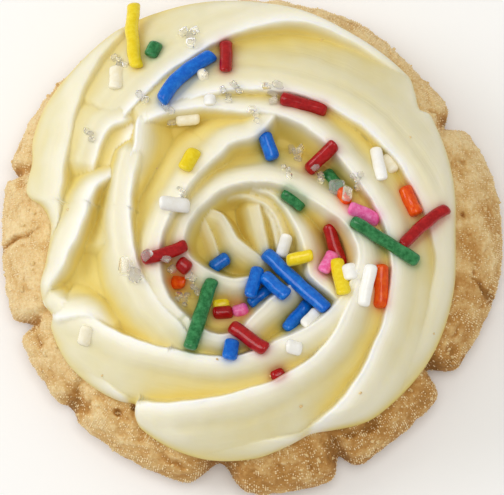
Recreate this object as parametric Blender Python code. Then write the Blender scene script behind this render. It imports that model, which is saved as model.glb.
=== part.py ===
"""A round frosted biscuit: a cracked sugar biscuit under one piped swirl of frosting with sprinkles.

Metres in the scene, millimetres in the named sizes. +Z is up. The origin is the middle of the
flat underside, +Y points to the far side of the cookie as it is looked down on, +X to the right.
"""

import math

import bmesh
import bpy
import numpy as np
from mathutils import Vector, noise

MM = 0.001

# Biscuit ---------------------------------------------------------------------------------------
BISCUIT_TOP = 10.0  # height of the flat middle of the top
BISCUIT_WIDEST = 4.2  # height at which the rim is widest
SHOULDER_WIDTH = 7.5  # how far in from the rim the top starts to fall
HEEL_WIDTH = 2.6  # how far the rim tucks in under the widest line
BISCUIT_LUMP = 0.35  # height of the soft lumps on the rim
LUMP_SIZE, LUMP_REACH = 6.5, 8.0  # their spacing, and how far in from the rim they fade out
UNDERSIDE_ROUNDING = 0.05  # what lies lower than this belongs to the flat underside
# (direction in degrees, radius): the rim between the cracks
BISCUIT_RIM = (
    (10, 35.6), (45, 34.3), (65, 35.6), (110, 35.5), (155, 36.4), (182, 35.5),
    (215, 35.5), (240, 35.3), (280, 35.7), (308, 34.4), (332, 34.2), (350, 35.4),
)
# (direction, how far it bites into the rim, half width at the rim, reach towards the middle, drift)
CRACKS = (
    (31, 2.2, 1.5, 4.0, 6), (164, 1.3, 1.0, 4.5, -4), (182, 0.0, 0.8, 6.5, -5),
    (200.5, 2.1, 1.1, 5.0, 5), (223, 0.9, 1.5, 5.5, -4), (262, 4.2, 2.6, 7.0, 3),
    (292, 2.6, 1.2, 6.5, -5), (324, 3.6, 1.5, 6.0, 4), (346, 0.0, 0.7, 5.0, 4),
)
CRACK_DEPTH = 2.0
CRACK_WIDTH, CRACK_NARROWING = 0.7, 0.75  # share of the bite's width at the rim, and lost by its inner end

# Frosting --------------------------------------------------------------------------------------
FOOT_X, FOOT_Y = -0.3, -1.3  # middle of the frosting's edge
SWIRL_X, SWIRL_Y = -0.3, -2.15  # middle of its folds
SEAT_GAP = 0.35  # space left between frosting and biscuit
# (direction, how far in from its edge the frosting has rounded over)
LIP_WIDTHS = (
    (0, 2.4), (30, 1.6), (50, 1.0), (75, 1.0), (95, 2.4), (130, 2.6), (160, 1.6), (180, 1.8),
    (200, 1.8), (230, 1.4), (238, 1.2), (262, 2.4), (285, 1.6), (320, 2.6),
)
LIP_RISE = 1.2  # height of the edge's widest line above its foot
FOOT_DIP = 6.0  # how steeply the underside falls from a hanging foot to the biscuit
FOOT_FLOOR = 7.6  # lowest the foot hangs where the edge passes the biscuit's shoulder
# (direction, radius) of the frosting's edge; close pairs are torn or folded ends
FROSTING_EDGE = (
    (0, 28.8), (18, 30.0), (32, 31.1), (36, 31.4), (38, 30.6), (43, 31.9), (47, 33.0), (64, 33.1),
    (75, 33.6), (93, 35.2), (107, 36.2), (118, 36.6), (132, 35.8), (145, 35.2), (154, 34.1),
    (160, 32.7), (166, 32.4), (168, 31.6), (169.2, 30.0), (172, 28.6), (176, 27.9), (185, 28.6),
    (192, 29.9), (196, 30.0), (200.5, 29.3), (203, 30.1), (212, 30.4), (224, 29.5), (231, 28.5),
    (235, 27.6), (236.6, 28.9), (240, 30.0), (257, 30.8), (271, 30.1), (281, 28.8), (288, 28.0),
    (293, 28.5), (306, 29.9), (323, 29.9), (345, 29.3),
)
# Folds of the swirl: width of the flat band beside the crest, roundness of the shoulder past it, the
# slope from there on and the height of the wall, at the fold's start and at its end, and the crest's
# stations (direction, radius, height, crispness). Piped from the rim inwards, each has its wall to
# the left of the run, towards the middle.
FOLDS = {
    "rim_top": ((0.2, 1.6, 1.0, 2.0), (2.4, 1.6, 1.0, 3.0), (
        (45, 32.0, 12.0, 0.1), (50, 32.4, 13.0, 0.2), (75, 32.2, 17.0, 1.0), (90, 30.1, 18.0, 1.0),
        (104, 27.6, 18.8, 1.0), (127, 25.1, 19.0, 1.0), (136, 24.6, 18.6, 1.0),
    )),
    "right_lobe": ((1.6, 2.6, 0.9, 4.0), (2.4, 1.2, 0.9, 4.0), (
        (285, 26.8, 12.2, 0.0), (306, 26.1, 14.9, 0.1), (327, 25.7, 16.2, 0.2), (354, 25.9, 16.9, 0.3),
        (361, 25.2, 17.4, 0.5), (388, 23.1, 19.0, 1.0), (431, 21.2, 20.6, 1.0), (450, 20.9, 20.6, 1.0),
        (479, 21.2, 19.8, 1.0), (491, 22.0, 19.2, 1.0),
    )),
    "lower_lobe": ((0.6, 2.8, 1.1, 4.0), (0.6, 1.0, 1.1, 4.0), (
        (237, 27.3, 12.0, 0.0), (255, 27.6, 13.8, 0.0), (272, 27.2, 14.4, 0.1), (284, 27.6, 15.6, 0.5),
        (292, 26.5, 17.3, 0.9), (321, 22.2, 19.8, 1.0), (355, 19.3, 20.9, 1.0), (399, 16.6, 21.3, 1.0),
        (439, 17.6, 21.1, 1.0), (450, 17.6, 21.0, 1.0), (474, 19.9, 20.5, 1.0), (489, 21.7, 19.6, 1.0),
    )),
    "left_lobe": ((0.4, 2.8, 1.1, 4.0), (0.4, 1.2, 1.1, 4.0), (
        (204, 28.0, 12.0, 0.0), (220, 27.4, 13.6, 0.2), (233, 27.5, 15.4, 0.6), (239, 26.1, 17.0, 0.9),
        (247, 24.3, 18.4, 1.0), (268, 21.0, 19.8, 1.0), (308, 17.8, 21.6, 1.0), (329, 16.1, 22.4, 1.0),
        (336, 15.9, 22.2, 1.0),
    )),
    "spiral": ((0.6, 2.4, 1.1, 4.0), (0.5, 1.0, 1.1, 9.0), (
        (196, 27.3, 15.0, 0.2), (202, 25.1, 16.5, 0.5), (218, 21.6, 18.6, 1.0), (243, 17.9, 20.4, 1.0),
        (261, 16.8, 21.0, 1.0), (289, 14.8, 21.7, 1.0), (346, 15.1, 22.3, 1.0), (397, 9.5, 21.5, 1.0),
        (460, 7.7, 20.8, 1.0), (501, 7.9, 20.5, 1.0), (544, 9.1, 20.1, 1.0), (583, 6.7, 18.8, 1.0),
        (629, 4.9, 17.2, 1.0),
    )),
    "left_band": ((2.0, 0.4, 3.2, 4.0), (2.2, 2.2, 1.2, 4.0), (
        (143, 19.1, 20.2, 0.3), (153, 18.0, 20.6, 0.8), (174, 16.4, 20.8, 1.0), (227, 15.0, 20.0, 1.0),
        (240, 15.7, 19.2, 1.0),
    )),
    "inner_ring": ((0.9, 1.4, 1.1, 4.0), (0.9, 1.2, 1.1, 4.0), (
        (78, 17.8, 20.6, 0.8), (83, 15.3, 20.9, 0.9), (90, 13.9, 21.0, 1.0), (101, 13.3, 21.2, 1.0),
        (111, 12.0, 21.5, 1.0), (148, 10.9, 21.7, 1.0), (209, 13.4, 20.7, 1.0), (228, 13.8, 19.8, 1.0),
    )),
    "hollow_rim": ((0.3, 0.8, 1.2, 6.0), (0.3, 0.8, 1.2, 7.0), (
        (324, 14.8, 20.8, 0.8), (329, 9.7, 19.6, 1.0), (389, 6.6, 18.7, 1.0), (460, 7.4, 18.6, 1.0),
        (512, 8.9, 18.0, 1.0),
    )),
    "hollow_inner": ((0.3, 0.7, 1.4, 6.0), (0.3, 0.7, 1.4, 6.0), (
        (358, 4.6, 15.6, 0.8), (384, 4.5, 16.4, 1.0), (433, 5.7, 17.4, 1.0), (506, 7.8, 17.2, 0.9),
        (519, 8.3, 16.8, 0.9),
    )),
    "lower_inner": ((0.6, 1.4, 1.1, 4.0), (0.6, 1.2, 1.1, 4.0), (
        (227, 13.8, 19.2, 0.8), (248, 14.1, 20.0, 1.0), (263, 12.9, 20.0, 1.0), (270, 11.2, 19.8, 1.0),
        (294, 8.5, 18.8, 1.0), (312, 8.3, 18.2, 1.0),
    )),
    "flap": ((0.4, 1.6, 1.0, 4.0), (0.4, 1.6, 1.0, 4.0), (
        (121, 35.7, 13.4, 0.1), (136, 32.3, 15.6, 0.4), (153, 28.7, 16.0, 0.5), (174, 26.8, 14.4, 0.4),
        (184, 27.9, 12.6, 0.2),
    )),
    "torn_upper": ((1.6, 1.4, 1.0, 3.0), (1.6, 1.4, 1.0, 3.0), (
        (136, 24.2, 18.8, 0.8), (141, 25.1, 18.4, 0.8), (153, 24.2, 17.2, 0.8),
    )),
    "torn_lower": ((0.3, 0.7, 1.4, 4.0), (0.3, 0.9, 1.2, 4.0), (
        (152, 20.6, 18.0, 1.0), (162, 22.6, 19.0, 1.0), (170, 22.9, 18.6, 0.9), (186, 25.7, 16.6, 0.8),
        (191, 28.2, 13.8, 0.6),
    )),
    "left_lip": ((0.5, 1.6, 1.0, 4.0), (0.5, 1.6, 1.0, 4.0), (
        (180, 18.8, 19.4, 0.1), (168, 18.9, 19.6, 0.4), (142, 20.2, 20.0, 1.0), (133, 22.7, 19.4, 1.0),
    )),
    "torn_patch": ((3.2, 1.6, 1.0, 3.0), (3.2, 1.6, 1.0, 3.0), (
        (131, 23.2, 17.6, 0.8), (149, 21.2, 17.0, 1.0), (155, 21.1, 16.2, 0.9),
    )),
    "peak": ((0.8, 1.4, 1.2, 3.0), (1.2, 1.4, 1.2, 3.0), (
        (212, 22.6, 16.6, 0.2), (205, 24.2, 17.2, 0.8), (201, 28.4, 15.2, 0.9), (196, 29.7, 13.0, 0.9),
    )),
}
# Pleats in the bottom of the hollow: stations (x, y, height, crispness) from the folds' middle
PLEATS = {
    "pleat_long": ((0.5, 0.9, 1.0, 6.0), (0.5, 0.9, 1.0, 6.0), (
        (-5.8, 4.6, 17.2, 0.9), (-4.0, 4.0, 17.0, 1.0), (-1.6, 0.5, 16.2, 0.9), (1.8, -2.0, 15.0, 0.8),
    )),
    "pleat_left": ((0.4, 0.8, 1.2, 6.0), (0.4, 0.8, 1.2, 6.0), (
        (-6.2, 3.6, 16.8, 0.8), (-5.5, 1.9, 16.0, 1.0), (-4.3, -1.2, 14.6, 0.8),
    )),
    "pleat_mid": ((1.4, 0.5, 2.0, 6.0), (0.8, 0.5, 2.0, 6.0), (
        (1.3, 5.1, 17.0, 1.0), (1.7, 2.9, 16.4, 0.9), (2.5, -0.8, 14.8, 0.8),
    )),
    "pleat_right": ((0.4, 0.6, 1.6, 6.0), (0.4, 0.6, 1.6, 6.0), (
        (3.8, -0.4, 14.8, 1.0), (2.9, 3.1, 16.4, 1.0), (2.2, 4.6, 16.8, 1.0),
    )),
}
STEEP = (0.6, 4.5)  # slope of a fold's left side, soft and crisp
STEEP_ROUND = (1.6, 0.22)  # and its rounding at the crest
SOFT_WALL = 6.0  # height of the steep part where the crest is soft
WALL_FOOT = 0.6  # slope of the scooped foot of the wall
SOFT_SLOPE = 1.35  # slope of its right side where the crest is soft
BAND_FALL = 0.07  # the band's own slope
VALLEY_SOFT = 0.16  # rounding where two folds meet
LINE_STEP = 0.6  # spacing of the points worked out along a crest
END_SLOPE, END_ROUND = 1.4, 0.5  # how a crest falls away past its ends
# (radius, height) of the swirl's body under its folds
BODY_HEIGHT = ((0, 11.6), (5, 12.2), (9, 15.4), (14, 16.4), (19, 16.2), (24, 13.4), (29, 10.8), (37, 9.0))

# Sprinkles: colour, x, y, heading in degrees, length, bend, and how many radii it is pressed in,
# each lying on those before it
SPRINKLE_RADIUS = 0.95
SPRINKLE_TIP = 0.45  # length of its rounded end, in radii
SPRINKLE_TILT = 0.6  # steepest a sprinkle lies
SPRINKLE_SINK = 0.1  # how much deeper each is set, in radii, to join it to what it lies on
SPRINKLES = (
    ("yellow", -16.3, 27.6, 94, 11.1, 0.18, 0.35), ("red", 23.7, -0.4, 42, 8.9, 0.14, 0.45),
    ("green", 18.1, -2.8, 150, 10.7, 0.00, 0.45), ("green", -6.9, -12.6, 73, 10.6, 0.02, 0.45),
    ("blue", -8.9, 20.3, 44, 10.2, 0.34, 0.45), ("blue", 6.2, -12.5, 52, 5.2, 0.00, 0.45),
    ("blue", 1.4, -9.3, 38, 4.5, 0.00, 0.45), ("blue", 0.3, -7.8, 77, 4.8, 0.00, 0.45),
    ("blue", 3.1, -8.4, 135, 5.0, 0.00, 0.45), ("blue", 6.0, -7.6, 134, 12.4, 0.02, 0.45),
    ("red", 7.1, 16.5, 167, 6.6, -0.04, 0.45), ("red", -11.9, -4.3, 21, 6.6, -0.12, 0.45),
    ("red", 11.4, -2.8, 108, 6.2, 0.04, 0.60), ("red", -0.5, -16.0, 142, 6.3, 0.00, 0.45),
    ("orange", 17.6, -8.8, 89, 5.9, 0.00, 0.45), ("white", 15.6, -9.0, 79, 5.9, 0.00, 0.45),
    ("green", 11.5, 5.8, 126, 4.8, 0.00, 0.80), ("red", 9.5, 9.0, 40, 5.1, 0.00, 0.45),
    ("yellow", 11.9, -7.6, 100, 5.7, 0.00, 0.45), ("white", -10.5, 2.1, 180, 4.2, 0.00, 0.40),
    ("red", -3.6, 23.6, 90, 5.2, 0.00, 0.45), ("white", 17.4, 8.4, 99, 5.2, 0.00, 0.45),
    ("pink", 15.3, 1.1, 160, 4.5, -0.05, 0.45), ("orange", 21.8, 3.4, 113, 4.5, 0.06, 0.45),
    ("blue", 2.3, 10.8, 108, 4.0, 0.00, 0.45), ("yellow", 6.5, -4.7, 8, 3.7, 0.00, 0.45),
    ("green", 5.7, 3.4, 143, 3.6, 0.00, 0.45), ("blue", -4.5, -4.6, 30, 3.0, 0.00, 0.45),
    ("yellow", -8.5, 8.5, 66, 3.6, 0.00, 0.45), ("green", -13.7, 24.9, 69, 2.6, 0.00, 0.50),
    ("pink", 10.4, -5.3, 66, 3.6, 0.00, 0.45), ("white", 4.4, -2.5, 75, 3.1, 0.00, 0.50),
    ("white", 8.1, -13.2, 48, 3.3, 0.00, 0.45), ("blue", -2.9, -17.6, 77, 3.1, 0.00, 0.45),
    ("white", 19.0, 8.8, 115, 2.9, 0.00, 0.95), ("red", -4.0, -11.8, 10, 2.8, 0.00, 0.75),
    ("pink", -1.6, -11.4, 17, 2.3, 0.00, 0.95), ("white", 5.7, -17.4, 170, 2.3, 0.00, 0.75),
    ("red", -9.3, -5.9, 144, 2.1, 0.00, 0.60), ("orange", -10.1, -7.7, 169, 2.1, 0.00, 0.80),
    ("red", 3.5, -20.8, 28, 2.0, 0.00, 1.00), ("orange", 12.6, 3.6, 110, 2.6, 0.00, 1.00),
    ("white", -8.9, 15.1, 4, 3.4, 0.00, 1.05), ("white", -18.9, 21.1, 88, 3.9, 0.00, 1.15),
    ("white", -22.8, -15.1, 72, 2.6, 0.00, 1.10), ("white", -5.8, 17.1, 90, 1.8, 0.00, 0.90),
    ("yellow", -4.2, -10.6, 12, 2.3, 0.00, 1.10), ("white", -6.8, 20.8, 17, 1.5, 0.00, 1.25),
    ("white", 13.3, -7.0, 104, 2.5, 0.00, 0.90),
)

# Fineness ---------------------------------------------------------------------------------------
BISCUIT_SPOKES, BISCUIT_RINGS = 240, 44
BISCUIT_FLOOR_RINGS = 4
BISCUIT_HEEL_SHARE = 0.16  # of the rings
BISCUIT_SPREAD = 1.1  # above one, the rings crowd towards the rim
BISCUIT_TRIANGLES = 2200
FROSTING_SPOKES, FROSTING_RINGS = 300, 120
FROSTING_LIP_RINGS, FROSTING_FLOOR_RINGS = 3, 12
FROSTING_SPREAD = 1.25
FROSTING_TRIANGLES = 8100
ROD_SIDES, ROD_RINGS, BENT_ROD_RINGS = 6, 3, 4
FEELERS = 7  # points along a sprinkle at which what lies under it is read
SHARP_ANGLE = 50  # degrees between faces that are shaded apart


def smooth_ring(stations, angles):
    """Radius at each angle, read round a closed run of (degrees, value) stations."""
    at, value = zip(*stations)
    turns = np.concatenate([np.array(at) - 360.0, at, np.array(at) + 360.0])
    return smooth_run(turns, np.tile(value, 3), np.mod(angles, 360.0))


def smooth_run(at, value, where):
    """Monotone cubic through (at, value): it never swings past a station."""
    at, value = np.asarray(at, float), np.asarray(value, float)
    step = np.diff(at)
    rise = np.diff(value) / step
    slope = np.zeros_like(value)
    slope[0], slope[-1] = rise[0], rise[-1]
    same = rise[:-1] * rise[1:] > 0
    near, far = 2 * step[1:] + step[:-1], step[1:] + 2 * step[:-1]
    with np.errstate(divide="ignore", invalid="ignore"):
        harmonic = (near + far) / (near / rise[:-1] + far / rise[1:])
    slope[1:-1] = np.where(same, harmonic, 0.0)
    k = np.clip(np.searchsorted(at, where) - 1, 0, len(step) - 1)
    t = (where - at[k]) / step[k]
    t2, t3 = t * t, t * t * t
    return (
        (2 * t3 - 3 * t2 + 1) * value[k] + (t3 - 2 * t2 + t) * step[k] * slope[k]
        + (3 * t2 - 2 * t3) * value[k + 1] + (t3 - t2) * step[k] * slope[k + 1]
    )


def angle_gap(a, b):
    """Signed difference of two directions, in degrees."""
    return np.mod(a - b + 180.0, 360.0) - 180.0


def lumps(x, y, size, seed):
    """Soft noise from -1 to 1 at each point of the plane."""
    return np.array([noise.noise(Vector((a / size, b / size, seed))) for a, b in zip(x, y)])


def biscuit_rim(angles):
    """Radius of the biscuit's widest line, bitten into by the cracks."""
    radius = smooth_ring(BISCUIT_RIM, angles)
    for at, bite, half, _reach, _drift in CRACKS:
        off = np.radians(np.abs(angle_gap(angles, at))) * radius
        radius = radius - bite * np.exp(-((off / half) ** 2))
    return radius


def biscuit_top(radius, rim):
    """Height of the biscuit's smooth top at a radius, under a rim of that size."""
    out = np.clip((radius - (rim - SHOULDER_WIDTH)) / SHOULDER_WIDTH, 0.0, 1.0)
    return BISCUIT_WIDEST + (BISCUIT_TOP - BISCUIT_WIDEST) * np.sqrt(1.0 - out * out)


def crack_depth(angles, radius, rim):
    """How deep the cracks cut the rim's upper side."""
    depth = np.zeros_like(radius)
    for at, _bite, half, reach, drift in CRACKS:
        inward = np.clip((rim - radius) / reach, 0.0, 1.0)
        off = np.radians(angle_gap(angles, at + drift * inward)) * radius
        width = half * (1.0 - CRACK_NARROWING * inward) * CRACK_WIDTH
        depth += CRACK_DEPTH * (1.0 - inward) * np.exp(-((off / width) ** 2))
    return depth


def ball(spokes, rings):
    """A round closed mesh, with the spoke and ring number of each of its vertices."""
    mesh = bmesh.new()
    bmesh.ops.create_uvsphere(mesh, u_segments=spokes, v_segments=rings, radius=1.0)
    co = np.array([v.co for v in mesh.verts])
    ring = np.rint(np.arccos(np.clip(co[:, 2], -1, 1)) / math.pi * rings)
    spoke = np.degrees(np.arctan2(co[:, 1], co[:, 0])) % 360.0
    return mesh, spoke, ring


def place(mesh, x, y, z):
    """Moves the mesh's vertices to those points, given in mm."""
    for v, a, b, c in zip(mesh.verts, x, y, z):
        v.co = (a * MM, b * MM, c * MM)


def finish(mesh, name, material):
    """Makes the bmesh a smooth-shaded object of that name."""
    bmesh.ops.recalc_face_normals(mesh, faces=mesh.faces[:])
    data = bpy.data.meshes.new(name)
    mesh.to_mesh(data)
    mesh.free()
    data.materials.append(material)
    piece = bpy.data.objects.new(name, data)
    bpy.context.scene.collection.objects.link(piece)
    data.shade_smooth()
    return piece


def thin_out(piece, triangles):
    """Collapses the flattest faces until about that many triangles are left."""
    data = piece.data
    data.calc_loop_triangles()
    tool = piece.modifiers.new("thin_out", "DECIMATE")
    tool.ratio = triangles / len(data.loop_triangles)
    apply_all(piece)


def apply_all(piece):
    """Replaces the piece's mesh by what its modifiers make of it."""
    graph = bpy.context.evaluated_depsgraph_get()
    made = bpy.data.meshes.new_from_object(piece.evaluated_get(graph))
    piece.modifiers.clear()
    piece.data = made


def build_biscuit(material):
    """The biscuit: flat below, domed at the rim, split by cracks."""
    mesh, spoke, ring = ball(BISCUIT_SPOKES, BISCUIT_RINGS)
    rim = biscuit_rim(spoke)
    heel_rings = BISCUIT_RINGS * BISCUIT_HEEL_SHARE
    top_rings = BISCUIT_RINGS - heel_rings - BISCUIT_FLOOR_RINGS
    out = np.clip(ring / top_rings, 0.0, 1.0)
    lean = np.clip((ring - top_rings) / heel_rings, 0.0, 1.0) * math.pi / 2
    under = np.clip((ring - top_rings - heel_rings) / BISCUIT_FLOOR_RINGS, 0.0, 1.0)
    radius = rim * np.sin(out * math.pi / 2) ** BISCUIT_SPREAD
    height = biscuit_top(radius, rim)
    x, y = np.cos(np.radians(spoke)), np.sin(np.radians(spoke))
    edge = np.clip(1.0 - (rim - radius) / LUMP_REACH, 0.0, 1.0) * (out > 0)
    height += BISCUIT_LUMP * edge * (lumps(radius * x, radius * y, LUMP_SIZE, 3.0) - 1.0)
    height -= crack_depth(spoke, radius, rim) * (lean == 0)
    radius = radius - HEEL_WIDTH * (1.0 - np.cos(lean))
    height = np.where(lean > 0, BISCUIT_WIDEST * (1.0 - np.sin(lean)), height)
    radius = radius * (1.0 - under)
    place(mesh, radius * x, radius * y, np.maximum(height, 0.0))
    piece = finish(mesh, "biscuit", material)
    thin_out(piece, BISCUIT_TRIANGLES)
    for vert in piece.data.vertices:
        if vert.co.z < UNDERSIDE_ROUNDING * MM:
            vert.co.z = 0.0
    return piece


def fold_line(stations, polar):
    """Points every half millimetre or so along a fold: x, y, height, crispness and distance run."""
    a, b, height, crisp = (np.array(c, float) for c in zip(*stations))
    x, y = (b * np.cos(np.radians(a)), b * np.sin(np.radians(a))) if polar else (a, b)
    at = np.concatenate([[0.0], np.cumsum(np.hypot(np.diff(x), np.diff(y)))])
    where = np.linspace(0.0, at[-1], int(at[-1] / LINE_STEP) + 2)
    a, b, height, crisp = (smooth_run(at, c, where) for c in (a, b, height, crisp))
    if polar:
        a, b = b * np.cos(np.radians(a)), b * np.sin(np.radians(a))
    run = np.concatenate([[0.0], np.cumsum(np.hypot(np.diff(a), np.diff(b)))])
    return np.stack([a + SWIRL_X, b + SWIRL_Y, height, crisp, run], axis=1)


def fold_height(x, y, line, at_start, at_end):
    """Height of one fold at each point: a crest with a steep left and a gentle right side."""
    a, b = line[:-1], line[1:]
    run = b[:, :2] - a[:, :2]
    length = np.hypot(run[:, 0], run[:, 1])
    off_x, off_y = x[:, None] - a[:, 0], y[:, None] - a[:, 1]
    along = (off_x * run[:, 0] + off_y * run[:, 1]) / length**2
    held = np.clip(along, 0.0, 1.0)
    gap = np.hypot(off_x - held * run[:, 0], off_y - held * run[:, 1])
    k = np.argmin(gap, axis=1)
    rows = np.arange(len(x))
    t = held[rows, k]
    first, last = (k == 0) & (along[rows, k] < 0), (k == len(a) - 1) & (along[rows, k] > 1)
    past = np.where(first | last, np.abs(along[rows, k] - t) * length[k], 0.0)
    side = (run[k, 0] * off_y[rows, k] - run[k, 1] * off_x[rows, k]) / length[k]
    height = a[k, 2] + t * (b[k, 2] - a[k, 2])
    crisp = a[k, 3] + t * (b[k, 3] - a[k, 3])
    off = np.sqrt(np.maximum(gap[rows, k] ** 2 - past**2, 0.0))
    steep = STEEP[0] + crisp * (STEEP[1] - STEEP[0])
    round_ = STEEP_ROUND[0] + crisp * (STEEP_ROUND[1] - STEEP_ROUND[0])
    done = line[k, 4] / line[-1, 4]
    shape = [s + done * (e - s) for s, e in zip(at_start, at_end)]
    band, shoulder, crisp_slope, crisp_wall = shape
    wall = SOFT_WALL + crisp * (crisp_wall - SOFT_WALL)
    left = steep * (np.sqrt(off**2 + round_**2) - round_)
    left = wall * (1.0 - np.exp(-left / wall)) + WALL_FOOT * off
    beyond = np.maximum(off - band, 0.0)
    slope = SOFT_SLOPE + crisp * (crisp_slope - SOFT_SLOPE)
    right = slope * (np.sqrt(beyond**2 + shoulder**2) - shoulder) + BAND_FALL * off
    end = END_SLOPE * (np.sqrt(past**2 + END_ROUND**2) - END_ROUND)
    return height - np.where(side > 0, left, right) - end


def swirl_height(x, y):
    """Height of the frosting's top at each point, away from its edge."""
    from_middle = np.hypot(x - SWIRL_X, y - SWIRL_Y)
    at, body = zip(*BODY_HEIGHT)
    layers = [smooth_run(at, body, np.minimum(from_middle, at[-1]))]
    for folds, polar in ((FOLDS, True), (PLEATS, False)):
        for *shape, stations in folds.values():
            layers.append(fold_height(x, y, fold_line(stations, polar), *shape))
    layers = np.array(layers)
    top = layers.max(axis=0)
    return top + VALLEY_SOFT * np.log(np.exp((layers - top) / VALLEY_SOFT).sum(axis=0))


def seat_height(x, y):
    """Height of the biscuit's top under the frosting, without the cracks."""
    rim = smooth_ring(BISCUIT_RIM, np.degrees(np.arctan2(y, x)))
    return biscuit_top(np.hypot(x, y), rim)


def frosting_shape(spoke, out, lean, under):
    """Place of each point of the frosting's skin.

    out runs from the middle of the top to the edge, lean rounds the edge over to its foot,
    and under runs back to the middle along the biscuit.
    """
    edge = smooth_ring(FROSTING_EDGE, spoke)
    cos, sin = np.cos(np.radians(spoke)), np.sin(np.radians(spoke))
    foot_x, foot_y = FOOT_X + (edge - LIP_RISE) * cos, FOOT_Y + (edge - LIP_RISE) * sin
    foot = np.maximum(seat_height(foot_x, foot_y), FOOT_FLOOR) + SEAT_GAP
    radius = edge * out
    x, y = FOOT_X + radius * cos, FOOT_Y + radius * sin
    rolled = 1.0 - np.clip((edge - radius) / smooth_ring(LIP_WIDTHS, spoke), 0.0, 1.0)
    widest = foot + LIP_RISE
    swirl = np.maximum(swirl_height(x, y), widest)
    top = widest + (swirl - widest) * np.sqrt(1.0 - rolled**2)
    tucked = (edge - LIP_RISE * (1.0 - np.cos(lean))) * (1.0 - under)
    low_x, low_y = FOOT_X + tucked * cos, FOOT_Y + tucked * sin
    seat = np.maximum(seat_height(low_x, low_y) + SEAT_GAP, foot - FOOT_DIP * under)
    low = np.where(under > 0, seat, foot + LIP_RISE * (1.0 - np.sin(lean)))
    below = lean > 0
    return np.where(below, low_x, x), np.where(below, low_y, y), np.where(below, low, top)


def build_frosting(material):
    """The swirl of frosting, without its sprinkles."""
    mesh, spoke, ring = ball(FROSTING_SPOKES, FROSTING_RINGS)
    top_rings = FROSTING_RINGS - FROSTING_LIP_RINGS - FROSTING_FLOOR_RINGS
    share = np.clip(ring / top_rings, 0.0, 1.0)
    out = 1.0 - (1.0 - share) ** FROSTING_SPREAD
    lean = np.clip((ring - top_rings) / FROSTING_LIP_RINGS, 0.0, 1.0) * math.pi / 2
    under = np.clip((ring - top_rings - FROSTING_LIP_RINGS) / FROSTING_FLOOR_RINGS, 0.0, 1.0) ** 2
    place(mesh, *frosting_shape(spoke, out, lean, under))
    piece = finish(mesh, "frosting", material)
    thin_out(piece, FROSTING_TRIANGLES)
    return piece


def sprinkle(x, y, heading, length, bend, pressed, surface):
    """One sprinkle as a closed six-sided rod with rounded ends, lying on the surface."""
    turn = math.radians(heading)
    across = Vector((-math.sin(turn), math.cos(turn), 0.0))
    ahead = Vector((math.cos(turn), math.sin(turn), 0.0))
    steps = np.linspace(-0.5, 0.5, FEELERS) * (length - SPRINKLE_RADIUS)
    below = surface(x + steps * ahead.x, y + steps * ahead.y)
    tilt = np.clip(np.polyfit(steps, below, 1)[0], -SPRINKLE_TILT, SPRINKLE_TILT)
    lift = float((below - tilt * steps).max()) + (1.0 - SPRINKLE_SINK - pressed) * SPRINKLE_RADIUS
    rod = bmesh.new()
    bmesh.ops.create_uvsphere(
        rod, u_segments=ROD_SIDES, v_segments=BENT_ROD_RINGS if bend else ROD_RINGS, radius=1.0
    )
    for v in rod.verts:
        reach = math.copysign(1.0, v.co.z) if abs(v.co.z) > 0.01 else 0.0
        tip = abs(v.co.z) > 0.99
        along = reach * (length / 2 - (0.0 if tip else SPRINKLE_TIP * SPRINKLE_RADIUS))
        side, up = (0.0, 0.0) if tip else Vector((v.co.x, v.co.y)).normalized() * SPRINKLE_RADIUS
        side += bend * length * (0.25 - (along / length) ** 2)
        spot = Vector((x, y, lift)) + ahead * along + across * side
        v.co = (spot + Vector((0.0, 0.0, up + tilt * along))) * MM
    return rod


def surface_reader(piece):
    """A function giving the height of the piece's top in mm at points in mm."""
    graph = bpy.context.evaluated_depsgraph_get()
    shown = piece.evaluated_get(graph)

    def read(x, y):
        heights = []
        for a, b in zip(x, y):
            hit, spot, _normal, _face = shown.ray_cast(Vector((a * MM, b * MM, 0.1)), Vector((0, 0, -1)))
            heights.append(spot.z / MM if hit else 0.0)
        return np.array(heights)

    return read


def fuse_sprinkles(frosting, material):
    """Joins every sprinkle to the frosting it lies on."""
    surface = surface_reader(frosting)
    scattered = bpy.data.collections.new("sprinkles")
    bpy.context.scene.collection.children.link(scattered)
    for number, (_colour, *shape) in enumerate(SPRINKLES):
        rod = finish(sprinkle(*shape, surface), f"sprinkle_{number:02d}", material)
        bpy.context.scene.collection.objects.unlink(rod)
        scattered.objects.link(rod)
    union = frosting.modifiers.new("sprinkles", "BOOLEAN")
    union.operation = "UNION"
    union.operand_type = "COLLECTION"
    union.collection = scattered
    union.solver = "EXACT"
    apply_all(frosting)
    for rod in list(scattered.objects):
        bpy.data.objects.remove(rod)
    bpy.data.collections.remove(scattered)
    keep_largest(frosting)


def keep_largest(piece):
    """Leaves only the piece's largest shell, so no sealed pocket or loose scrap stays."""
    mesh = bmesh.new()
    mesh.from_mesh(piece.data)
    left, shells = set(mesh.verts), []
    while left:
        shell, waiting = set(), [next(iter(left))]
        while waiting:
            vert = waiting.pop()
            if vert in shell:
                continue
            shell.add(vert)
            waiting.extend(edge.other_vert(vert) for edge in vert.link_edges)
        left -= shell
        shells.append(shell)
    largest = max(shells, key=len)
    bmesh.ops.delete(mesh, geom=[v for v in mesh.verts if v not in largest], context="VERTS")
    mesh.to_mesh(piece.data)
    mesh.free()


def plain_material(name, colour, roughness):
    """A matte food surface of one linear colour."""
    material = bpy.data.materials.new(name)
    material.use_nodes = True
    shader = material.node_tree.nodes["Principled BSDF"]
    shader.inputs["Base Color"].default_value = (*colour, 1.0)
    shader.inputs["Roughness"].default_value = roughness
    shader.inputs["Metallic"].default_value = 0.0
    return material


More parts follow.
